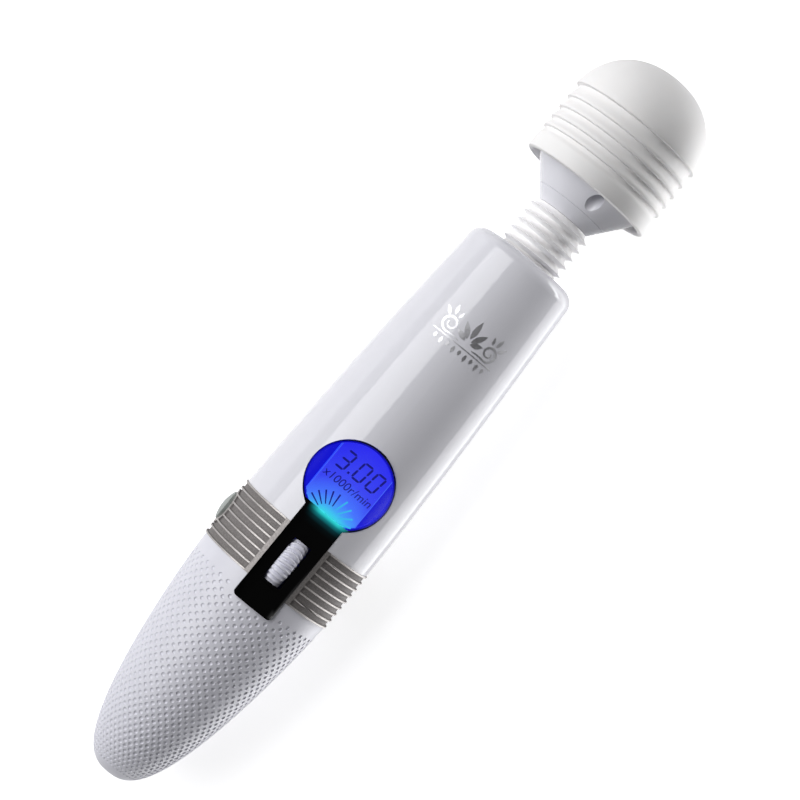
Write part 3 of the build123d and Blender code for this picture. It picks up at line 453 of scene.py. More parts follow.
@dataclass(frozen=True)
class ClearAcrylic:
    """Polished PMMA: the window over the screen, sharp see-through with a faint gloss."""

    name: str = "pmma_polished_clear"
    colour: str = "#F7F8FF"
    ior: float = 1.49

    def material(self) -> bpy.types.Material:
        """Builds the material."""
        made, tree, shader, spot = start_material(self.name)
        swirl = add_node(tree, "ShaderNodeTexNoise", {"Vector": spot, "Scale": 1000 / 6.0})
        rough = add_node(tree, "ShaderNodeMapRange", {"Value": swirl.outputs["Fac"], "To Min": 0.0, "To Max": 0.03})
        plug(tree, shader, {
            "Base Color": linear(self.colour), "Roughness": rough.outputs["Result"], "IOR": self.ior,
            "Transmission Weight": 1.0, "Specular IOR Level": 0.1,
        })
        return made


@dataclass(frozen=True)
class BlackAcrylic:
    """Polished black PMMA: a black mirror, with the screen's cyan lamp bleeding into its head end's top."""

    name: str = "pmma_polished_black"
    colour: str = "#040405"
    bleed_start: float = 104.6   # mm from the tail tip
    bleed_end: float = 110.7
    lamp_y: float = -1.4         # the lamp sits a little to the right
    bleed_inner: float = 3.0     # the glow fades out sideways between these
    bleed_outer: float = 8.2
    ior: float = 1.49
    end_face: float = 0.7        # a face that looks this far towards the head stays black

    def material(self) -> bpy.types.Material:
        """Builds the material."""
        made, tree, shader, spot = start_material(self.name)
        split = add_node(tree, "ShaderNodeSeparateXYZ", {"Vector": spot})
        along = add_node(tree, "ShaderNodeMapRange", {
            "Value": split.outputs["X"],
            "From Min": (self.bleed_start - MIDDLE) / 1000, "From Max": (self.bleed_end - MIDDLE) / 1000,
        })
        ramp = add_node(tree, "ShaderNodeValToRGB", {"Fac": along.outputs["Result"]})
        fill_ramp(ramp, ((0.0, "#000000"), (0.3, "#010A0C"), (0.55, "#053238"), (0.74, "#127C82"), (0.88, "#29C8C8"),
                         (0.985, "#38D8E0"), (1.0, "#2CB4C2")))
        swirl = add_node(tree, "ShaderNodeTexNoise", {"Vector": spot, "Scale": 1000 / 8.0})
        rough = add_node(tree, "ShaderNodeMapRange", {"Value": swirl.outputs["Fac"], "To Min": 0.02, "To Max": 0.07})
        offset = add_node(tree, "ShaderNodeMath", {0: split.outputs["Y"], 1: self.lamp_y / 1000}, operation="SUBTRACT")
        aside = add_node(tree, "ShaderNodeMath", {0: offset.outputs[0]}, operation="ABSOLUTE")
        inside = add_node(tree, "ShaderNodeMapRange", {
            "Value": aside.outputs[0], "From Min": self.bleed_inner / 1000, "From Max": self.bleed_outer / 1000,
            "To Min": 1.0, "To Max": 0.0,
        }, interpolation_type="SMOOTHSTEP")
        facing = add_node(tree, "ShaderNodeSeparateXYZ", {
            "Vector": add_node(tree, "ShaderNodeNewGeometry").outputs["Normal"],
        })
        not_end = add_node(tree, "ShaderNodeMath", {0: facing.outputs["X"], 1: self.end_face},
                           operation="LESS_THAN")
        shown = add_node(tree, "ShaderNodeMath", {0: inside.outputs["Result"], 1: not_end.outputs[0]},
                         operation="MULTIPLY")
        plug(tree, shader, {
            "Base Color": linear(self.colour), "Roughness": rough.outputs["Result"], "IOR": self.ior,
            "Specular IOR Level": 0.25, "Emission Color": ramp.outputs["Color"], "Emission Strength": shown.outputs[0],
        })
        return made


@dataclass(frozen=True)
class LitFoam:
    """Die-cut black foam whose inner edge catches the screen's blue light."""

    name: str = "foam_die_cut_black"
    centre: float = 122.0
    lit_radius: float = 13.95    # mm from the window's middle
    fade: float = 0.25           # mm

    def material(self) -> bpy.types.Material:
        """Builds the material."""
        made, tree, shader, spot = start_material(self.name)
        flat = add_node(tree, "ShaderNodeVectorMath", {0: spot, 1: (1.0, 1.0, 0.0)}, operation="MULTIPLY")
        away = add_node(tree, "ShaderNodeVectorMath", {
            0: flat.outputs[0], 1: ((self.centre - MIDDLE) / 1000, 0.0, 0.0),
        }, operation="DISTANCE")
        lit = add_node(tree, "ShaderNodeMapRange", {
            "Value": away.outputs["Value"], "From Min": self.lit_radius / 1000,
            "From Max": (self.lit_radius + self.fade) / 1000, "To Min": 1.0, "To Max": 0.0,
        })
        plug(tree, shader, {
            "Base Color": linear("#060607"), "Roughness": 0.85, "Specular IOR Level": 0.15,
            "Emission Color": linear("#0606B4"), "Emission Strength": lit.outputs["Result"],
        })
        return made


@dataclass(frozen=True)
class ScreenGlow:
    """Backlit liquid crystal: violet blue at the head end, lighter below, a cyan lamp at the tail end."""

    name: str = "lcd_backlit_blue"
    start: float = 110.4         # mm from the tail tip
    end: float = 135.6
    lamp_y: float = -1.4
    edge: float = 8.0            # mm aside, where the lamp's light is weaker by "curve"
    curve: float = 0.1
    strength: float = 1.05

    def material(self) -> bpy.types.Material:
        """Builds the material."""
        made, tree, shader, spot = start_material(self.name)
        split = add_node(tree, "ShaderNodeSeparateXYZ", {"Vector": spot})
        along = add_node(tree, "ShaderNodeMapRange", {
            "Value": split.outputs["X"],
            "From Min": (self.start - MIDDLE) / 1000, "From Max": (self.end - MIDDLE) / 1000,
        })
        grain = add_node(tree, "ShaderNodeTexNoise", {"Vector": spot, "Scale": 1000 / 5.0, "Detail": 1.0})
        ripple = add_node(tree, "ShaderNodeMapRange", {"Value": grain.outputs["Fac"], "To Min": -0.02, "To Max": 0.02})
        offset = add_node(tree, "ShaderNodeMath", {0: split.outputs["Y"], 1: self.lamp_y / 1000}, operation="SUBTRACT")
        spread = add_node(tree, "ShaderNodeMath", {0: offset.outputs[0], 1: offset.outputs[0]}, operation="MULTIPLY")
        curved = add_node(tree, "ShaderNodeMath", {
            0: spread.outputs[0], 1: self.curve / (self.edge / 1000) ** 2, 2: along.outputs["Result"],
        }, operation="MULTIPLY_ADD")
        level = add_node(tree, "ShaderNodeMath", {0: curved.outputs[0], 1: ripple.outputs["Result"]}, operation="ADD")
        ramp = add_node(tree, "ShaderNodeValToRGB", {"Fac": level.outputs[0]})
        fill_ramp(ramp, ((0.0, "#38DCE4"), (0.05, "#3CCBF0"), (0.12, "#42A2FA"), (0.25, "#4678FF"), (0.5, "#3A46F4"),
                         (1.0, "#2828F0")))
        plug(tree, shader, {
            "Base Color": linear("#04040C"), "Roughness": 0.5,
            "Emission Color": ramp.outputs["Color"], "Emission Strength": self.strength,
        })
        return made


@dataclass(frozen=True)
class LitPlastic:
    """Plastic or ink in the screen's light: it shows by glow, hardly by the room."""

    name: str
    glow: str
    strength: float = 1.0
    body: str = "#06061E"

    def material(self) -> bpy.types.Material:
        """Builds the material."""
        made, tree, shader, spot = start_material(self.name)
        grain = add_node(tree, "ShaderNodeTexNoise", {"Vector": spot, "Scale": 1000 / 4.0, "Detail": 1.0})
        rough = add_node(tree, "ShaderNodeMapRange", {"Value": grain.outputs["Fac"], "To Min": 0.4, "To Max": 0.6})
        plug(tree, shader, {
            "Base Color": linear(self.body), "Roughness": rough.outputs["Result"],
            "Emission Color": linear(self.glow), "Emission Strength": self.strength,
        })
        return made


# wet-looking, with a faint ripple in its reflections
GLOSS_ABS = Moulded("abs_gloss_moulded", "#E2E2E9", 0.1, skin_mm=3.0, skin_depth_mm=0.003)
# soft highlights on the dimples' rims
GRIP_ABS = Moulded("abs_satin_moulded", "#DFDFE8", 0.36, skin_mm=0.5, skin_depth_mm=0.003)
WHEEL_ABS = Moulded("abs_wheel_moulded", "#E0E0EC", 0.22)
# dry and soft: light wraps over its rings
CAP_SILICONE = Moulded("silicone_cast_matte", "#EFEEEE", 0.55, skin_mm=0.6, skin_depth_mm=0.006, ior=1.41,
                       glow_through=0.08, specular=0.35)
# bright folds with grey hollows
BELLOWS_RUBBER = Moulded("tpe_moulded_white", "#F6F5F6", 0.4, ior=1.45, glow_through=0.04)
RING_NYLON = Moulded("nylon_moulded_natural", "#EAE9E8", 0.4, ior=1.53)
BLASTED_BUTTON = Metal("aluminium_blasted_satin", "#A2A7A4", 0.5, (0.2, 0.1, 0.2), 0.2)
FOIL = Metal("foil_hot_stamped_silver", "#C6C6CA", 0.42, (0.4, 0.4, 0.4), 0.25)
STEEL = Metal("steel_screw_zinc", "#B9BBC0", 0.3)


# ---------------------------------------------------------------- shell outlines shared by several pieces
@dataclass(frozen=True)
class Body:
    """Outer sizes of the handle, in mm, as the frame has them."""

    grip_length: float = 80.6
    grip_radius: float = 24.6
    nose_run: float = 1.4        # how the grip narrows to its rounded tail
    nose_blunt: float = 0.36
    sleeve_start: float = 101.8
    sleeve_radius: float = 24.65
    sleeve_run: float = 107.7
    taper: float = 4.3
    taper_power: float = 1.55

    def grip(self, s: float) -> float:
        """Radius of the grip at s."""
        share = (self.grip_length - s) / self.grip_length
        return self.grip_radius * max(0.0, 1 - max(0.0, share) ** self.nose_run) ** self.nose_blunt

    def sleeve(self, s: float) -> float:
        """Radius of the sleeve at s."""
        share = max(0.0, (s - self.sleeve_start) / self.sleeve_run)
        return self.sleeve_radius - self.taper * share ** self.taper_power


BODY = Body()


# ---------------------------------------------------------------- grip
@dataclass
class Grip:
    """The tapered grip with its staggered dimples, as one closed shell."""

    columns: int = 42
    row_pitch: float = 1.57
    dimple: float = 0.74         # radius
    depth: float = 0.42
    crowding: float = 0.66       # the most of a brick's half width that its dimple takes
    bowl: tuple[Point, ...] = ((1.0, 0.0), (0.8, 0.62), (0.4, 0.95))    # share of the radius, share of the depth
    first_row: float = 74.5
    last_row: float = 4.7
    wall: float = 2.2
    socket_radius: float = 3.0
    panel_half: float = 7.5
    panel_start: float = 72.8
    panel_corner: float = 1.4
    clear_half: float = 9.4      # no dimples closer to the panel's middle than this
    clear_start: float = 71.6
    sharp: float = 26.0          # edges that turn by more degrees than this stay sharp

    def rows(self) -> list[float]:
        """Edges of the dimple rows, a pitch of arc apart, from the head end down."""
        step = 0.02
        edges = [self.first_row + self.row_pitch / 2]
        while edges[-1] > self.last_row - 0.6:
            s = edges[-1]
            run = 0.0
            while run < self.row_pitch:
                run += hypot(BODY.grip(s) - BODY.grip(s - step), step)
                s -= step
            edges.append(s)
        return edges

    def cell(self, work: bmesh.types.BMesh, low: float, high: float, column: float) -> None:
        """One brick of the surface with its dimple in the middle.

        Args:
            work: the bmesh to add to.
            low: s of the brick's tail edge.
            high: s of its head edge.
            column: its place round the grip, in bricks.
        """
        half = pi / self.columns
        turn = column * 2 * half
        middle = (low + high) / 2
        radius = BODY.grip(middle)
        step = BODY.grip(high) - BODY.grip(low)
        length = hypot(step, high - low)
        lean = (high - low) / length
        round_radius = min(self.dimple, radius * half * self.crowding)
        y = -radius * sin(turn)
        plain = abs(y) < self.clear_half and middle > self.clear_start and cos(turn) > 0
        depth = 0.0 if plain else self.depth * round_radius / self.dimple
        edge = [(high * a + low * (1 - a), turn + half * b) for a, b in (
            (0.5, 1), (1, 1), (1, 0.5), (1, 0), (1, -0.5), (1, -1),
            (0.5, -1), (0, -1), (0, -0.5), (0, 0), (0, 0.5), (0, 1),
        )]
        outer = [work.verts.new(place(s, BODY.grip(s), t)) for s, t in edge]
        loops = [outer]
        for share, down in self.bowl:
            ring = []
            for k in range(12):
                angle = k * pi / 6
                s = middle + sin(angle) * round_radius * share * lean
                t = turn + cos(angle) * round_radius * share / radius
                ring.append(work.verts.new(place(s, BODY.grip(s) - depth * down, t)))
            loops.append(ring)
        bridge(work, loops)
        work.faces.new(loops[-1])

    def build(self) -> None:
        """Builds and dresses the grip."""
        work = bmesh.new()
        edges = self.rows()
        for row, (high, low) in enumerate(zip(edges, edges[1:])):
            for column in range(self.columns):
                self.cell(work, low, high, column + 0.5 * (row % 2))
        steps = self.columns * 4
        tail = edges[-1]
        shape = [(tail, BODY.grip(tail))]
        while shape[-1][1] > self.socket_radius + 0.9:
            s = shape[-1][0] * 0.72
            shape.append((s, BODY.grip(s)))
        shape[-1] = (0.26, self.socket_radius + 0.3)
        shape += [(0.45, self.socket_radius), (3.2, self.socket_radius)]
        shape += [(s, max(self.socket_radius + 0.1, BODY.grip(s) - self.wall))
                  for s in (3.2, 4.5, 7, 12, 20, 32, 48, 64)]
        end = BODY.grip_length - 0.02    # a hair short of the band
        shape += [(end, BODY.grip_radius - self.wall), (end, BODY.grip_radius)]
        shape += [(s, BODY.grip(s)) for s in (78.0, edges[0])]
        rings = [[work.verts.new(place(s, r, 2 * pi * i / steps)) for i in range(steps)] for s, r in shape]
        bridge(work, rings)
        mesh = self.opened(finished(work, self.sharp))
        piece("grip_dimpled", mesh, "handle", GRIP_ABS.material(), ("grip_shell",))

    def opened(self, mesh: bpy.types.Mesh) -> bpy.types.Mesh:
        """Cuts the display panel's notch out of the shell.

        Args:
            mesh: the whole shell.

        Returns:
            The shell with its notch.
        """
        corner = self.panel_corner
        outline = [(90.0, self.panel_half), (90.0, -self.panel_half)]
        for k in range(5):
            angle = k * pi / 8
            outline.append((self.panel_start + corner - corner * sin(angle),
                            -self.panel_half + corner - corner * cos(angle)))
        outline += [(s, -y) for s, y in reversed(outline[2:])]
        cutter = bpy.data.objects.new("cutter", blocks([outline], 30.0, 60.0))
        shell = bpy.data.objects.new("shell", mesh)
        for made in (cutter, shell):
            bpy.context.scene.collection.objects.link(made)
        cut = shell.modifiers.new("notch", "BOOLEAN")
        cut.operation = "DIFFERENCE"
        cut.solver = "EXACT"
        cut.object = cutter
        bpy.context.view_layer.update()
        result = bpy.data.meshes.new_from_object(shell.evaluated_get(bpy.context.evaluated_depsgraph_get()))
        for made in (cutter, shell):
            bpy.data.objects.remove(made)
        result.shade_smooth()
        result.set_sharp_from_angle(angle=radians(self.sharp))
        return result


# ---------------------------------------------------------------- display
@dataclass
class Display:
    """The keyhole panel, black and clear, with its lit screen and the shapes printed on it."""

    centre: float = 122.0
    split: float = 110.6         # where the clear window gives way to the black tail
    face_radius: float = 13.4
    face_half_width: float = 9.85
    face_top: float = 44.45      # over the floor
    face_thickness: float = 1.9
    digit_height: float = 6.9
    digit_width: float = 3.85
    slant: float = 0.14
    stroke: float = 0.7
    stroke_gap: float = 0.1
    digits: tuple[tuple[str, float], ...] = (("abgcd", -8.1), ("abcdef", -1.6), ("abcdef", 3.6))
    digit_foot: float = 124.2
    fan_foot: float = 109.2      # where the scale's rays meet
    fan_right: float = 0.4
    fan_inner: float = 4.3
    fan_outer: float = 8.8
    capital_share: float = 0.7   # a capital's height in the font's own size
    slot_centre: float = 90.8    # a lip closes each end of the wheel's slot, under the panel's top
    lip_start: float = 8.05
    lip_end: float = 9.3
    lip_half: float = 3.3
    lip_low: float = 49.0        # over the floor
    lip_thickness: float = 0.5

    def half_panel(self, side: Side) -> bpy.types.Mesh:
        """A copy of the panel's tail or head part.

        Args:
            side: the part that is kept.

        Returns:
            The part as a closed mesh.
        """
        work = solid_of("display_lens")
        cut_across(work, (self.split - MIDDLE) / 1000, side)
        if side is Side.TAIL:
            for sign in (1, -1):
                near, far = self.slot_centre + sign * self.lip_start, self.slot_centre + sign * self.lip_end
                corners = [(near, -self.lip_half), (near, self.lip_half), (far, self.lip_half), (far, -self.lip_half)]
                add_block(work, corners, self.lip_low, self.lip_low + self.lip_thickness)
        return finished(work, 30.0)

    def face(self) -> bpy.types.Mesh:
        """The lit screen: a disc with two straight sides."""
        turn = asin(self.face_half_width / self.face_radius)
        outline = []
        for start in (turn, turn + pi):
            for k in range(25):
                angle = start - 2 * turn * k / 24
                outline.append((self.centre + self.face_radius * cos(angle), self.face_radius * sin(angle)))
        return blocks([outline], self.face_top - self.face_thickness, self.face_top)

    def strokes(self, outlines: list[list[Point]], lift: float = 0.06) -> bpy.types.Mesh:
        """Thin printed shapes on the screen.

        Args:
            outlines: (s, y) outlines in mm.
            lift: their height over the screen.

        Returns:
            All of them as one mesh.
        """
        return blocks(outlines, self.face_top + 0.01, self.face_top + lift)

    def digit(self, lit: str, right: float) -> list[list[Point]]:
        """Outlines of a seven-segment digit.

        Args:
            lit: its lit segments, from "abcdefg".
            right: mm from the screen's middle to the digit's left edge, to the viewer's right.

        Returns:
            One outline a segment.
        """
        high, wide, thick = self.digit_height, self.digit_width, self.stroke
        half, gap = thick / 2, self.stroke_gap
        flat = {"a": high - half, "g": high / 2, "d": half}
        tall = {"b": (wide - half, high / 2), "c": (wide - half, 0.0), "e": (half, 0.0), "f": (half, high / 2)}
        outlines = []
        for key in lit:
            if key in flat:
                level = flat[key]
                shape = [(gap + half, level), (gap + thick, level + half), (wide - gap - thick, level + half),
                         (wide - gap - half, level), (wide - gap - thick, level - half), (gap + thick, level - half)]
            else:
                x, low = tall[key]
                top = low + high / 2
                low = low + (half if low == 0 else 0)
                top = top - (half if low > 1 else 0)
                shape = [(x, low + gap), (x + half, low + gap + half), (x + half, top - gap - half),
                         (x, top - gap), (x - half, top - gap - half), (x - half, low + gap + half)]
            outlines.append([(self.digit_foot + v, -(right + u + self.slant * v)) for u, v in shape])
        return outlines

    def legend(self, words: str, size: float, base: float) -> bpy.types.Mesh:
        """A line of small letters, centred on the screen.

        Args:
            words: the letters.
            size: their height in mm.
            base: s of their foot.

        Returns:
            The mesh.
        """
        font = bpy.data.curves.new("legend", "FONT")
        font.body = words
        font.size = size / 1000 / self.capital_share
        font.align_x = "CENTER"
        font.extrude = 2e-5
        font.shear = 0.15
        holder = bpy.data.objects.new("legend", font)
        bpy.context.scene.collection.objects.link(holder)
        bpy.context.view_layer.update()
        mesh = bpy.data.meshes.new_from_object(holder.evaluated_get(bpy.context.evaluated_depsgraph_get()))
        bpy.data.objects.remove(holder)
        spin = Matrix(((0, 1, 0, (base - MIDDLE) / 1000), (-1, 0, 0, 0), (0, 0, 1, (self.face_top + 0.04) / 1000),
                       (0, 0, 0, 1)))
        mesh.transform(spin)
        return mesh

    def tick(self, degrees: float) -> list[Point]:
        """One ray of the speed scale, turned from the head end to the viewer's right."""
        angle = radians(degrees)
        inner, outer = self.fan_inner, self.fan_outer
        along = (cos(angle), sin(angle))
        side = (-along[1], along[0])
        corners = ((inner, 0.17), (outer, 0.27), (outer, -0.27), (inner, -0.17))
        return [(self.fan_foot + a * along[0] + b * side[0], -(self.fan_right + a * along[1] + b * side[1]))
                for a, b in corners]

    def build(self) -> None:
        """Builds and dresses the panel and its screen."""
        tail = piece("panel_tail", self.half_panel(Side.TAIL), "handle", BlackAcrylic().material())
        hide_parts("display_lens")
        piece("panel_window", self.half_panel(Side.HEAD), "handle", ClearAcrylic().material())
        piece("screen_face", self.face(), "handle", ScreenGlow().material(), ("lcd_module",))
        ink = LitPlastic("lcd_ink_dark", "#08087C").material()
        shapes = [outline for lit, right in self.digits for outline in self.digit(lit, right)]
        shapes.append([(124.5, 3.1), (124.5, 2.4), (125.3, 2.3), (125.3, 3.0)])    # the point
        shapes += [self.tick(-66 + 15.5 * k) for k in range(5)]
        piece("screen_digits", self.strokes(shapes), "handle", ink)
        piece("screen_scale", self.strokes([self.tick(17 + 19 * k) for k in range(4)]), "handle",
              LitPlastic("lcd_ink_lit", "#36C4EE").material())
        piece("screen_legend", self.legend("x1000r/min", 2.75, 119.9), "handle", ink)
        edges = [[(112.4, y + 0.1), (131.4, y + 0.1), (131.4, y - 0.1), (112.4, y - 0.1)] for y in (-9.72, 9.72)]
        piece("screen_edges", self.strokes(edges, 0.04), "handle",
              LitPlastic("lcd_edge_lit", "#4A6EFF").material())
        dress("display_tray", LitPlastic("tray_lit_blue", "#0A0AD2").material())
        dress("backlight", LitPlastic("light_guide_blue", "#2A50FF").material())
        dress("lens_gasket", LitFoam().material())


# ---------------------------------------------------------------- speed wheel
@dataclass
class Wheel:
    """The barrel-shaped thumb wheel with its soft, slightly bowed ridges."""

    centre: float = 90.8
    height: float = 40.75        # of its axle over the floor
    radius: float = 11.75
    half_width: float = 3.0
    ridges: int = 39
    depth: float = 1.05
    crown: float = 1.5
    bow: float = 0.3             # share of a ridge's pitch
    hub: float = 1.55
    offset: float = 0.14         # towards +Y in its slot

    def build(self) -> None:
        """Builds and dresses the wheel."""
        work = bmesh.new()
        steps = self.ridges * 12
        rings = []
        for k in range(-8, 9):
            across = sin(pi / 2 * k / 8)
            ring = []
            for i in range(steps):
                turn = 2 * pi * i / steps
                wave = 0.5 + 0.5 * cos(self.ridges * turn + 2 * pi * self.bow * across * across)
                radius = self.radius - self.crown * abs(across) ** 2.4 - self.depth * (1 - wave) ** 1.7
                ring.append(work.verts.new(self.point(radius, turn, across * self.half_width)))
            rings.append(ring)
        for side in (1, -1):
            rings.append([work.verts.new(self.point(self.hub, 2 * pi * i / steps, side * self.half_width))
                          for i in range(steps)])
        bridge(work, rings + rings[:1])
        piece("wheel_ridged", finished(work, 50.0), "wheel", WHEEL_ABS.material(), ("thumb_wheel",))

    def point(self, radius: float, turn: float, y: float) -> Vector:
        """A point of the wheel, in the row frame."""
        s, z = self.centre + radius * sin(turn), self.height + radius * cos(turn)
        return Vector((s - MIDDLE, y + self.offset, z)) / 1000


# ---------------------------------------------------------------- emblem
@dataclass
class Emblem:
    """A foil ornament on the sleeve: five leaves between two scrolls, over a rule and a row of buds."""

    centre: float = 182.2
    rise: float = 0.03
    thickness: float = 0.05
    leaf_turns: tuple[float, ...] = (-66.0, -35.0, 0.0, 35.0, 66.0)    # degrees from the head end
    leaf_lengths: tuple[float, ...] = (5.4, 7.2, 8.6, 7.2, 5.4)
    leaf_width: float = 1.75
    scroll_radius: float = 2.9
    scroll_out: float = 7.7      # from the middle to a scroll's eye
    rule_half: float = 11.6
    buds: int = 9
    bud_pitch: float = 2.35

    def ribbon(self, work: bmesh.types.BMesh, line: list[Point], widths: list[float]) -> None:
        """Lays a ribbon on the sleeve.

        Args:
            work: the bmesh to add to.
            line: (s, y) points along its middle.
            widths: its width at each point.
        """
        rows = []
        for i, ((s, y), width) in enumerate(zip(line, widths)):
            before, after = line[max(0, i - 1)], line[min(len(line) - 1, i + 1)]
            run = (after[0] - before[0], after[1] - before[1])
            size = hypot(*run) or 1.0
            across = (-run[1] / size * width / 2, run[0] / size * width / 2)
            row = []
            for sign, lift in ((1, 0.0), (1, 1.0), (-1, 1.0), (-1, 0.0)):
                ps, py = s + across[0] * sign, y + across[1] * sign
                radius = BODY.sleeve(ps) + self.rise * (lift * 2 - 1) + self.thickness * lift
                row.append(work.verts.new(place(ps, radius, -asin(py / radius))))
            rows.append(row)
        bridge(work, rows)
        work.faces.new(rows[0])
        work.faces.new(rows[-1])

    def leaf(self, work: bmesh.types.BMesh, foot: Point, degrees: float, length: float, width: float,
             start: float) -> None:
        """Lays a pointed leaf.

        Args:
            work: the bmesh to add to.
            foot: (s, y) of the point that it grows from.
            degrees: its direction from the head end towards +Y.
            length: mm from its foot to its tip.
            width: mm across its widest point.
            start: share of its length that is left out at the foot.
        """
        steps, angle = 12, radians(degrees)
        shares = [start + (1 - start) * k / steps for k in range(steps + 1)]
        line = [(foot[0] + length * t * cos(angle), foot[1] + length * t * sin(angle)) for t in shares]
        spread = [k / steps for k in range(steps + 1)]
        self.ribbon(work, line, [0.12 + width * sin(pi * t ** 0.85) for t in spread])

    def scroll(self, work: bmesh.types.BMesh, foot: float, side: int) -> None:
        """Lays a scroll: a stem from the middle that curls in on itself.

        Args:
            work: the bmesh to add to.
            foot: s of its stem.
            side: 1 towards +Y, -1 towards -Y.
        """
        eye = foot + self.scroll_radius
        line = [(foot + 0.25 * sin(pi * k / 6), side * (2.6 + (self.scroll_out - 2.6) * k / 6)) for k in range(6)]
        turns = 40
        for k in range(turns + 1):
            angle = radians(-90 + 480 * k / turns)
            radius = self.scroll_radius * (1 - 0.72 * k / turns)
            line.append((eye + radius * sin(angle), side * (self.scroll_out + radius * cos(angle))))
        last = len(line) - 1
        self.ribbon(work, line, [0.26 + 0.55 * sin(pi * (k / last) ** 0.7) for k in range(last + 1)])

    def build(self) -> None:
        """Builds and dresses the ornament."""
        work = bmesh.new()
        foot = self.centre - 3.0
        for degrees, length in zip(self.leaf_turns, self.leaf_lengths):
            self.leaf(work, (foot + 0.9, 0.0), degrees, length, self.leaf_width, 0.22)
        for side in (1, -1):
            self.scroll(work, foot, side)
            # a tuft of three small leaves on the scroll's back
            for up, out, degrees, length, width in ((4.6, 9.4, 42.0, 3.8, 1.1), (5.6, 8.3, 12.0, 3.8, 1.1),
                                                    (5.5, 6.9, -14.0, 2.8, 0.9)):
                self.leaf(work, (foot + up, side * out), side * degrees, length, width, 0.1)
        steps = 40
        rule = [(foot - 1.0, self.rule_half * (2 * k / steps - 1)) for k in range(steps + 1)]
        self.ribbon(work, rule, [0.36] * (steps + 1))
        for k in range(self.buds):
            self.leaf(work, (foot - 1.9, (k - (self.buds - 1) / 2) * self.bud_pitch), 180.0,
                      2.6 if k % 2 else 1.8, 0.95, 0.0)
        piece("foil_mark", finished(work), "handle", FOIL.material())


# ---------------------------------------------------------------- neck
@dataclass
class Neck:
    """The white bellows and the rubber coupling inside, each in two halves."""

    bottom: float = 215.4
    top: float = 232.2
    crests: int = 5
    crest_radius: float = 11.6
    root_radius: float = 9.65
    lean: float = 0.34
    wall: float = 1.1
    bore: float = 7.6
    lower_joint: float = 219.0
    upper_joint: float = 228.0
    reach: float = 2.6           # mm on each side of a joint

    def outline(self) -> list[Point]:
        """Outer points from tail to head: sharp crests, hollow flanks."""
        pitch = (self.top - self.bottom) / self.crests
        points = []
        for i in range(self.crests):
            root = self.bottom + pitch * i
            crest = root + pitch * self.lean
            tall = self.crest_radius - self.root_radius
            points.append((root, self.root_radius))
            points += [(root + pitch * self.lean * t, self.root_radius + tall * t ** 1.4) for t in (0.35, 0.7, 0.92)]
            points.append((crest, self.crest_radius))
            points.append((crest + 0.12, self.crest_radius - 0.03))
            span = pitch * (1 - self.lean)
            points += [(crest + span * t, self.root_radius + tall * (1 - t) ** 1.9)
                       for t in (0.12, 0.3, 0.5, 0.7, 0.87)]
        return points + [(self.top, self.root_radius)]

    def half(self, low: float, high: float) -> bpy.types.Mesh:
        """The wall between two stations as a closed mesh."""
        outer = [(s, r) for s, r in self.outline() if low - 1e-6 <= s <= high + 1e-6]
        inner = [(s, max(self.bore, r - self.wall)) for s, r in reversed(outer)]
        return lathe(outer + inner, 144)

    def coupling(self, side: Side) -> bpy.types.Mesh:
        """Half of the rubber coupling inside, with a ring of points every millimetre.

        Args:
            side: the half that is kept.

        Returns:
            The half as a closed mesh.
        """
        work = solid_of("flex_coupling")
        low, high = (corner[0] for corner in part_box("flex_coupling"))
        steps = round((high - low) * 1000)
        middle = (self.lower_joint + self.upper_joint) / 2 - MIDDLE
        for k in range(1, steps):
            cut_across(work, low + (high - low) * k / steps)
        cut_across(work, middle / 1000, side)
        return finished(work, 30.0)

    def build(self) -> None:
        """Builds and dresses the bellows and the coupling inside."""
        pitch = (self.top - self.bottom) / self.crests
        middle = self.bottom + pitch * 3
        rubber = BELLOWS_RUBBER.material()
        lower = piece("bellows_lower", self.half(self.bottom, middle), None, rubber,
                      ("neck_bellows",))
        upper = piece("bellows_upper", self.half(middle, self.top), None, rubber)
        drive = Moulded("rubber_coupling_black", "#202022", 0.65).material()
        near = piece("coupling_lower", self.coupling(Side.TAIL), None, drive, ("flex_coupling",))
        far = piece("coupling_upper", self.coupling(Side.HEAD), None, drive)
        for parts, pair, joint in (((lower, near), ("handle", "neck"), self.lower_joint),
                                   ((upper, far), ("neck", "head"), self.upper_joint)):
            for part in parts:
                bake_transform(part)
        dress("neck_retainer", RING_NYLON.material())


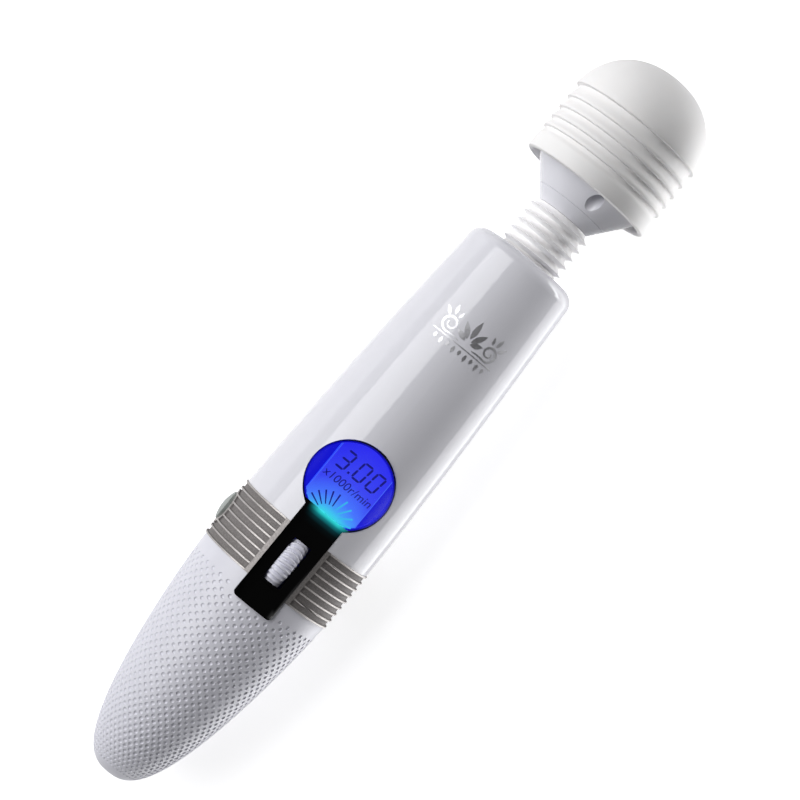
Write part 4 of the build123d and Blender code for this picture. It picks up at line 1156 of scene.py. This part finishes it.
# ---------------------------------------------------------------- head
@dataclass
class Head:
    """The cone with its collar, and the ringed silicone cap."""

    cap_start: float = 243.3
    rim_radius: float = 23.8
    rim_end: float = 250.1
    dome_start: float = 268.9
    dome_length: float = 21.08
    dome_radius: float = 24.35
    notch_radius: float = 22.85
    crests: tuple[float, ...] = (252.5, 256.3, 260.3, 264.6)
    crest_radius: float = 24.05
    crest_length: float = 1.1
    wall: float = 3.3

    def dome(self, inset: float, steps: int) -> list[Point]:
        """Points of the dome from its lip to the crown."""
        points = []
        for k in range(steps + 1):
            share = sin(pi / 2 * k / steps)
            full = max(0.0, 1 - share ** 1.85) ** 0.42
            points.append((self.dome_start + (self.dome_length - inset) * share, (self.dome_radius - inset) * full))
        return points

    def cap(self) -> list[Point]:
        """Outline of the cap: rolled rim, four saw-tooth rings, dome, and the hollow inside."""
        start, rim = self.cap_start, self.rim_radius
        points = [(start + 0.25, rim - 1.9), (start, rim - 1.3), (start + 0.08, rim - 0.7), (start + 0.4, rim - 0.2),
                  (start + 0.95, rim), (start + 3.5, rim + 0.02), (self.rim_end - 1.5, rim + 0.02),
                  (self.rim_end - 0.5, rim - 0.12), (self.rim_end - 0.12, rim - 0.45)]
        ends = list(self.crests) + [self.dome_start + 0.9]
        for i, crest in enumerate(ends):
            top = self.crest_radius if i < len(self.crests) else self.dome_radius
            step = crest - self.crest_length / 2 - 0.25
            low = points[-1]
            hollow = self.notch_radius if i else self.notch_radius + 0.15
            # the flank runs in from the crest below to the foot of this ring's step
            for t in (0.25, 0.5, 0.75):
                ease = t ** 0.75
                points.append((low[0] + (step - 0.3 - low[0]) * t, low[1] + (hollow - low[1]) * ease))
            points += [(step - 0.16, hollow), (step + 0.02, hollow + 0.15), (step + 0.08, top - 0.42),
                       (step + 0.2, top - 0.12), (step + 0.48, top)]
            if i < len(self.crests):
                points += [(step + 0.95, top - 0.02), (step + 1.3, top - 0.14)]
        points += self.dome(0.0, 26)[2:-1]
        points.append((self.dome_start + self.dome_length, 0.0))
        inner = self.dome(self.wall, 12)
        inner.reverse()
        inner[0] = (inner[0][0], 0.0)
        return points + inner + [(start + 2.4, self.dome_radius - self.wall), (start + 0.9, rim - 2.3)]

    def build(self) -> None:
        """Builds and dresses the head."""
        piece("cap_ringed", lathe(self.cap(), 216), "head", CAP_SILICONE.material(), ("silicone_cap",))
        gloss = GLOSS_ABS.material()
        for node in ("neck_collar", "head_cone", "upper_shell"):
            dress(node, gloss)
        dress("head_screws", STEEL.material())


# ---------------------------------------------------------------- other visible and inner pieces
@dataclass
class Fittings:
    """Finishes of the band, the button and everything inside, and the soft dome under the button."""

    travel: float = 0.6          # of the button, in mm

    def build(self) -> None:
        """Dresses each node and adds the dome."""
        dress("silver_band", RidgedBand().material())
        dress("mode_button", BLASTED_BUTTON.material())
        steel = STEEL.material()
        for node in ("board_screws", "neck_screws", "motor_screws", "weight_screw", "wheel_axle", "motor_shaft",
                     "eccentric_shaft", "lower_bearing", "upper_bearing"):
            dress(node, steel)
        chassis = Moulded("abs_chassis_grey", "#8C8F93", 0.5).material()
        for node in ("chassis", "battery_cradle", "wheel_bracket", "head_core"):
            dress(node, chassis)
        finishes = {
            "main_board": Moulded("fibreglass_solder_mask_green", "#1E5A34", 0.35, mottle=0.08),
            "switch_board": Moulded("fibreglass_small_board", "#1E5A34", 0.35, mottle=0.08),
            "battery_cell": Moulded("pvc_shrink_wrap", "#2C6FA8", 0.3),
            "battery_contacts": Metal("spring_plate_nickel", "#B8B2A6", 0.28),
            "charge_socket": Moulded("pbt_moulded_black", "#121214", 0.45),
            "speed_sensor": Moulded("pbt_moulded_blue", "#2B4D88", 0.45),
            "tact_switch": Moulded("switch_moulded_black", "#141416", 0.4),
            "motor_can": Metal("steel_drawn_zinc", "#A9ACB0", 0.3, (3.0, 0.3, 0.3)),
            "motor_end_cap": Moulded("nylon_moulded_white", "#D8D6CE", 0.45),
            "motor_magnets": Moulded("ferrite_sintered", "#2B2A2C", 0.55, mottle=0.06),
            "motor_armature": Metal("iron_laminated", "#6A6866", 0.45, (0.5, 4.0, 4.0)),
            "motor_bracket": Metal("steel_pressed_zinc", "#A4A8AC", 0.35),
            "motor_damper": Moulded("rubber_damper_black", "#1C1C1E", 0.7),
            "eccentric_weight": Metal("brass_turned", "#C9A45C", 0.3),
        }
        for node, finish in finishes.items():
            dress(node, finish.material())
        self.return_dome()

    def return_dome(self) -> None:
        """Adds the silicone dome under the button."""
        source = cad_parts["button_dome"]
        mesh = source.data.copy()
        mesh.transform(source.matrix_world)
        rubber = Moulded("silicone_dome_grey", "#9A9C9F", 0.6, glow_through=0.1).material()
        soft = piece("dome_soft", mesh, "handle", rubber, ("button_dome",))
        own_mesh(soft)


# ---------------------------------------------------------------- studio
@dataclass
class Studio:
    """Pale floor, camera, a world that is dim overhead, and four soft boxes with their flags.

    The key box lights the handle, the head box the pale head and bellows alone, and two low boxes draw bright edges.
    """

    target: tuple[float, float, float] = (8.1, 3.2, 25.1)
    distance: float = 811.0
    lens: float = 112.5
    side_tilt: float = 4.4       # degrees towards +Y
    roll: float = 39.4           # degrees from image up to the wand's head, clockwise
    key_turn: float = 47.0       # degrees from straight above towards +Y
    head_turn: float = 55.0
    reach: float = 0.9           # metres from the wand's axis to the two high boxes
    pale_head: tuple[str, ...] = ("cap_ringed", "bellows_lower", "bellows_upper")    # lit by a narrower box

    def camera(self) -> None:
        """Sets the camera at the product view."""
        tilt, roll = radians(self.side_tilt), radians(self.roll)
        back = Vector((0.0, sin(tilt), cos(tilt)))
        head = Vector((1.0, 0.0, 0.0))
        beside = Vector((0.0, -cos(tilt), sin(tilt)))
        up = head * cos(roll) - beside * sin(roll)
        right = head * sin(roll) + beside * cos(roll)
        spot = (Vector(self.target) + back * self.distance) / 1000
        data = bpy.data.cameras.new("camera")
        data.lens = self.lens
        data.sensor_width = 36.0
        data.clip_start = 0.01
        made = bpy.data.objects.new("camera", data)
        made.matrix_world = Matrix((
            (right.x, up.x, back.x, spot.x), (right.y, up.y, back.y, spot.y), (right.z, up.z, back.z, spot.z),
            (0, 0, 0, 1),
        ))
        bpy.context.scene.collection.objects.link(made)
        bpy.context.scene.camera = made

    def lamp(self, name: str, spot: tuple[float, float, float], back: tuple[float, float, float], wide: float,
             tall: float, power: float) -> bpy.types.Object:
        """Adds a soft box.

        Args:
            name: the lamp's name.
            spot: its middle, in metres.
            back: the way that its back faces.
            wide: metres across the wand.
            tall: metres along the wand.
            power: watts.

        Returns:
            The lamp.
        """
        data = bpy.data.lights.new(name, "AREA")
        data.shape = "RECTANGLE"
        data.size = tall
        data.size_y = wide
        data.energy = power
        made = bpy.data.objects.new(name, data)
        facing = Vector(back).normalized()
        hint = Vector((0.0, 0.0, 1.0)) if abs(facing.x) > 0.5 else Vector((1.0, 0.0, 0.0))
        along = (hint - facing * hint.dot(facing)).normalized()
        across = facing.cross(along)
        made.matrix_world = Matrix.Translation(spot) @ Matrix((along, across, facing)).transposed().to_4x4()
        made.visible_camera = False
        bpy.context.scene.collection.objects.link(made)
        return made

    def high_box(self, name: str, x: float, degrees: float, wide: float, tall: float,
                 power: float) -> bpy.types.Object:
        """Adds a soft box over the wand, towards +Y.

        Args:
            name: the lamp's name.
            x: metres along the wand.
            degrees: from straight above towards +Y.
            wide: metres across the wand.
            tall: metres along the wand.
            power: watts.

        Returns:
            The lamp.
        """
        turn = radians(degrees)
        back = (0.0, sin(turn), cos(turn))
        spot = (x, self.reach * back[1], AXIS_HEIGHT / 1000 + self.reach * back[2])
        return self.lamp(name, spot, back, wide, tall, power)

    def flag(self, lamp: bpy.types.Object, names: tuple[str, ...], only: bool = False) -> None:
        """Keeps a lamp off some pieces, as a flag beside a soft box does, or on them alone.

        Args:
            lamp: the lamp.
            names: the pieces.
            only: whether the lamp lights nothing else.
        """
        group = bpy.data.collections.new(f"{lamp.name}_flagged")
        for name in names:
            group.objects.link(bpy.data.objects[name])
        lamp.light_linking.receiver_collection = group
        if not only:
            for member in group.collection_objects:
                member.light_linking.link_state = "EXCLUDE"

    def world(self) -> None:
        """White to the eye and low down, dim overhead and towards +Y."""
        world = bpy.data.worlds.new("studio")
        bpy.context.scene.world = world
        world.use_nodes = True
        tree = world.node_tree
        spot = add_node(tree, "ShaderNodeTexCoord").outputs["Generated"]
        split = add_node(tree, "ShaderNodeSeparateXYZ", {"Vector": spot})
        shade = add_node(tree, "ShaderNodeMapRange", {
            "Value": split.outputs["Z"], "From Min": 0.05, "From Max": 0.6, "To Min": 1.0, "To Max": 0.1,
        })
        rays = add_node(tree, "ShaderNodeLightPath")
        fill = add_node(tree, "ShaderNodeMapRange", {
            "Value": rays.outputs["Is Glossy Ray"], "To Min": 0.22, "To Max": 1.0,
        })
        room = add_node(tree, "ShaderNodeMath", {0: shade.outputs["Result"], 1: fill.outputs["Result"]},
                        operation="MULTIPLY")
        flag = add_node(tree, "ShaderNodeMapRange", {
            "Value": split.outputs["Y"], "From Min": 0.15, "From Max": 0.85, "To Min": 1.0, "To Max": 0.45,
        })
        flagged = add_node(tree, "ShaderNodeMath", {0: room.outputs[0], 1: flag.outputs["Result"]},
                           operation="MULTIPLY")
        level = add_node(tree, "ShaderNodeMix", {
            "Factor": rays.outputs["Is Camera Ray"], 2: flagged.outputs[0], 3: 1.0,
        })
        plug(tree, tree.nodes["Background"], {"Color": (1.0, 1.0, 1.0, 1.0), "Strength": level.outputs[0]})

    def floor(self) -> None:
        """A white table that keeps a soft shadow."""
        work = bmesh.new()
        bmesh.ops.create_grid(work, x_segments=8, y_segments=8, size=3.0)
        mesh = finished(work)
        paper, tree, shader, spot = start_material("paper_sweep_white")
        tooth = add_node(tree, "ShaderNodeTexNoise", {"Vector": spot, "Scale": 1000 / 2.0})
        rough = add_node(tree, "ShaderNodeMapRange", {"Value": tooth.outputs["Fac"], "To Min": 0.8, "To Max": 0.95})
        rays = add_node(tree, "ShaderNodeLightPath")
        mirrored = add_node(tree, "ShaderNodeMath", {0: rays.outputs["Is Glossy Ray"], 1: 0.5}, operation="MULTIPLY")
        lift = add_node(tree, "ShaderNodeMath", {
            0: rays.outputs["Is Camera Ray"], 1: 0.78, 2: mirrored.outputs[0],
        }, operation="MULTIPLY_ADD")
        plug(tree, shader, {
            "Base Color": linear("#F2F2F4"), "Roughness": rough.outputs["Result"], "Specular IOR Level": 0.1,
            "Emission Color": (1.0, 1.0, 1.0, 1.0), "Emission Strength": lift.outputs[0],
        })
        mesh.materials.append(paper)
        ground = bpy.data.objects.new("floor", mesh)
        bpy.context.scene.collection.objects.link(ground)

    def build(self) -> None:
        """Sets camera, floor, lamps and world."""
        self.camera()
        self.floor()
        self.world()
        key = self.high_box("key_softbox", 0.0, self.key_turn, 0.74, 1.1, 8.9)
        self.flag(key, ("panel_window", "panel_tail", *self.pale_head))
        head = self.high_box("head_softbox", 0.1, self.head_turn, 0.42, 0.9, 8.6)
        self.flag(head, self.pale_head, only=True)
        edge = self.lamp("edge_panel", (-0.05, -0.235, 0.002), (0.0, 0.0, -1.0), 0.37, 0.9, 2.3)
        rim = self.lamp("rim_box", (0.24, -0.24, 0.012), (0.12, -0.24, -0.03), 0.1, 0.2, 0.5)
        for lamp in (edge, rim):
            self.flag(lamp, ("head_cone", "neck_collar"))
        bpy.context.scene.view_settings.view_transform = "Standard"


def main() -> None:
    """Builds every sub-assembly."""
    logging.basicConfig(level=logging.INFO, format="%(message)s")
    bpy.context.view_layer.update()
    for part in (Grip(), Display(), Wheel(), Emblem(), Neck(), Head(), Fittings(), Studio()):
        part.build()


if __name__ == "__main__":
    main()
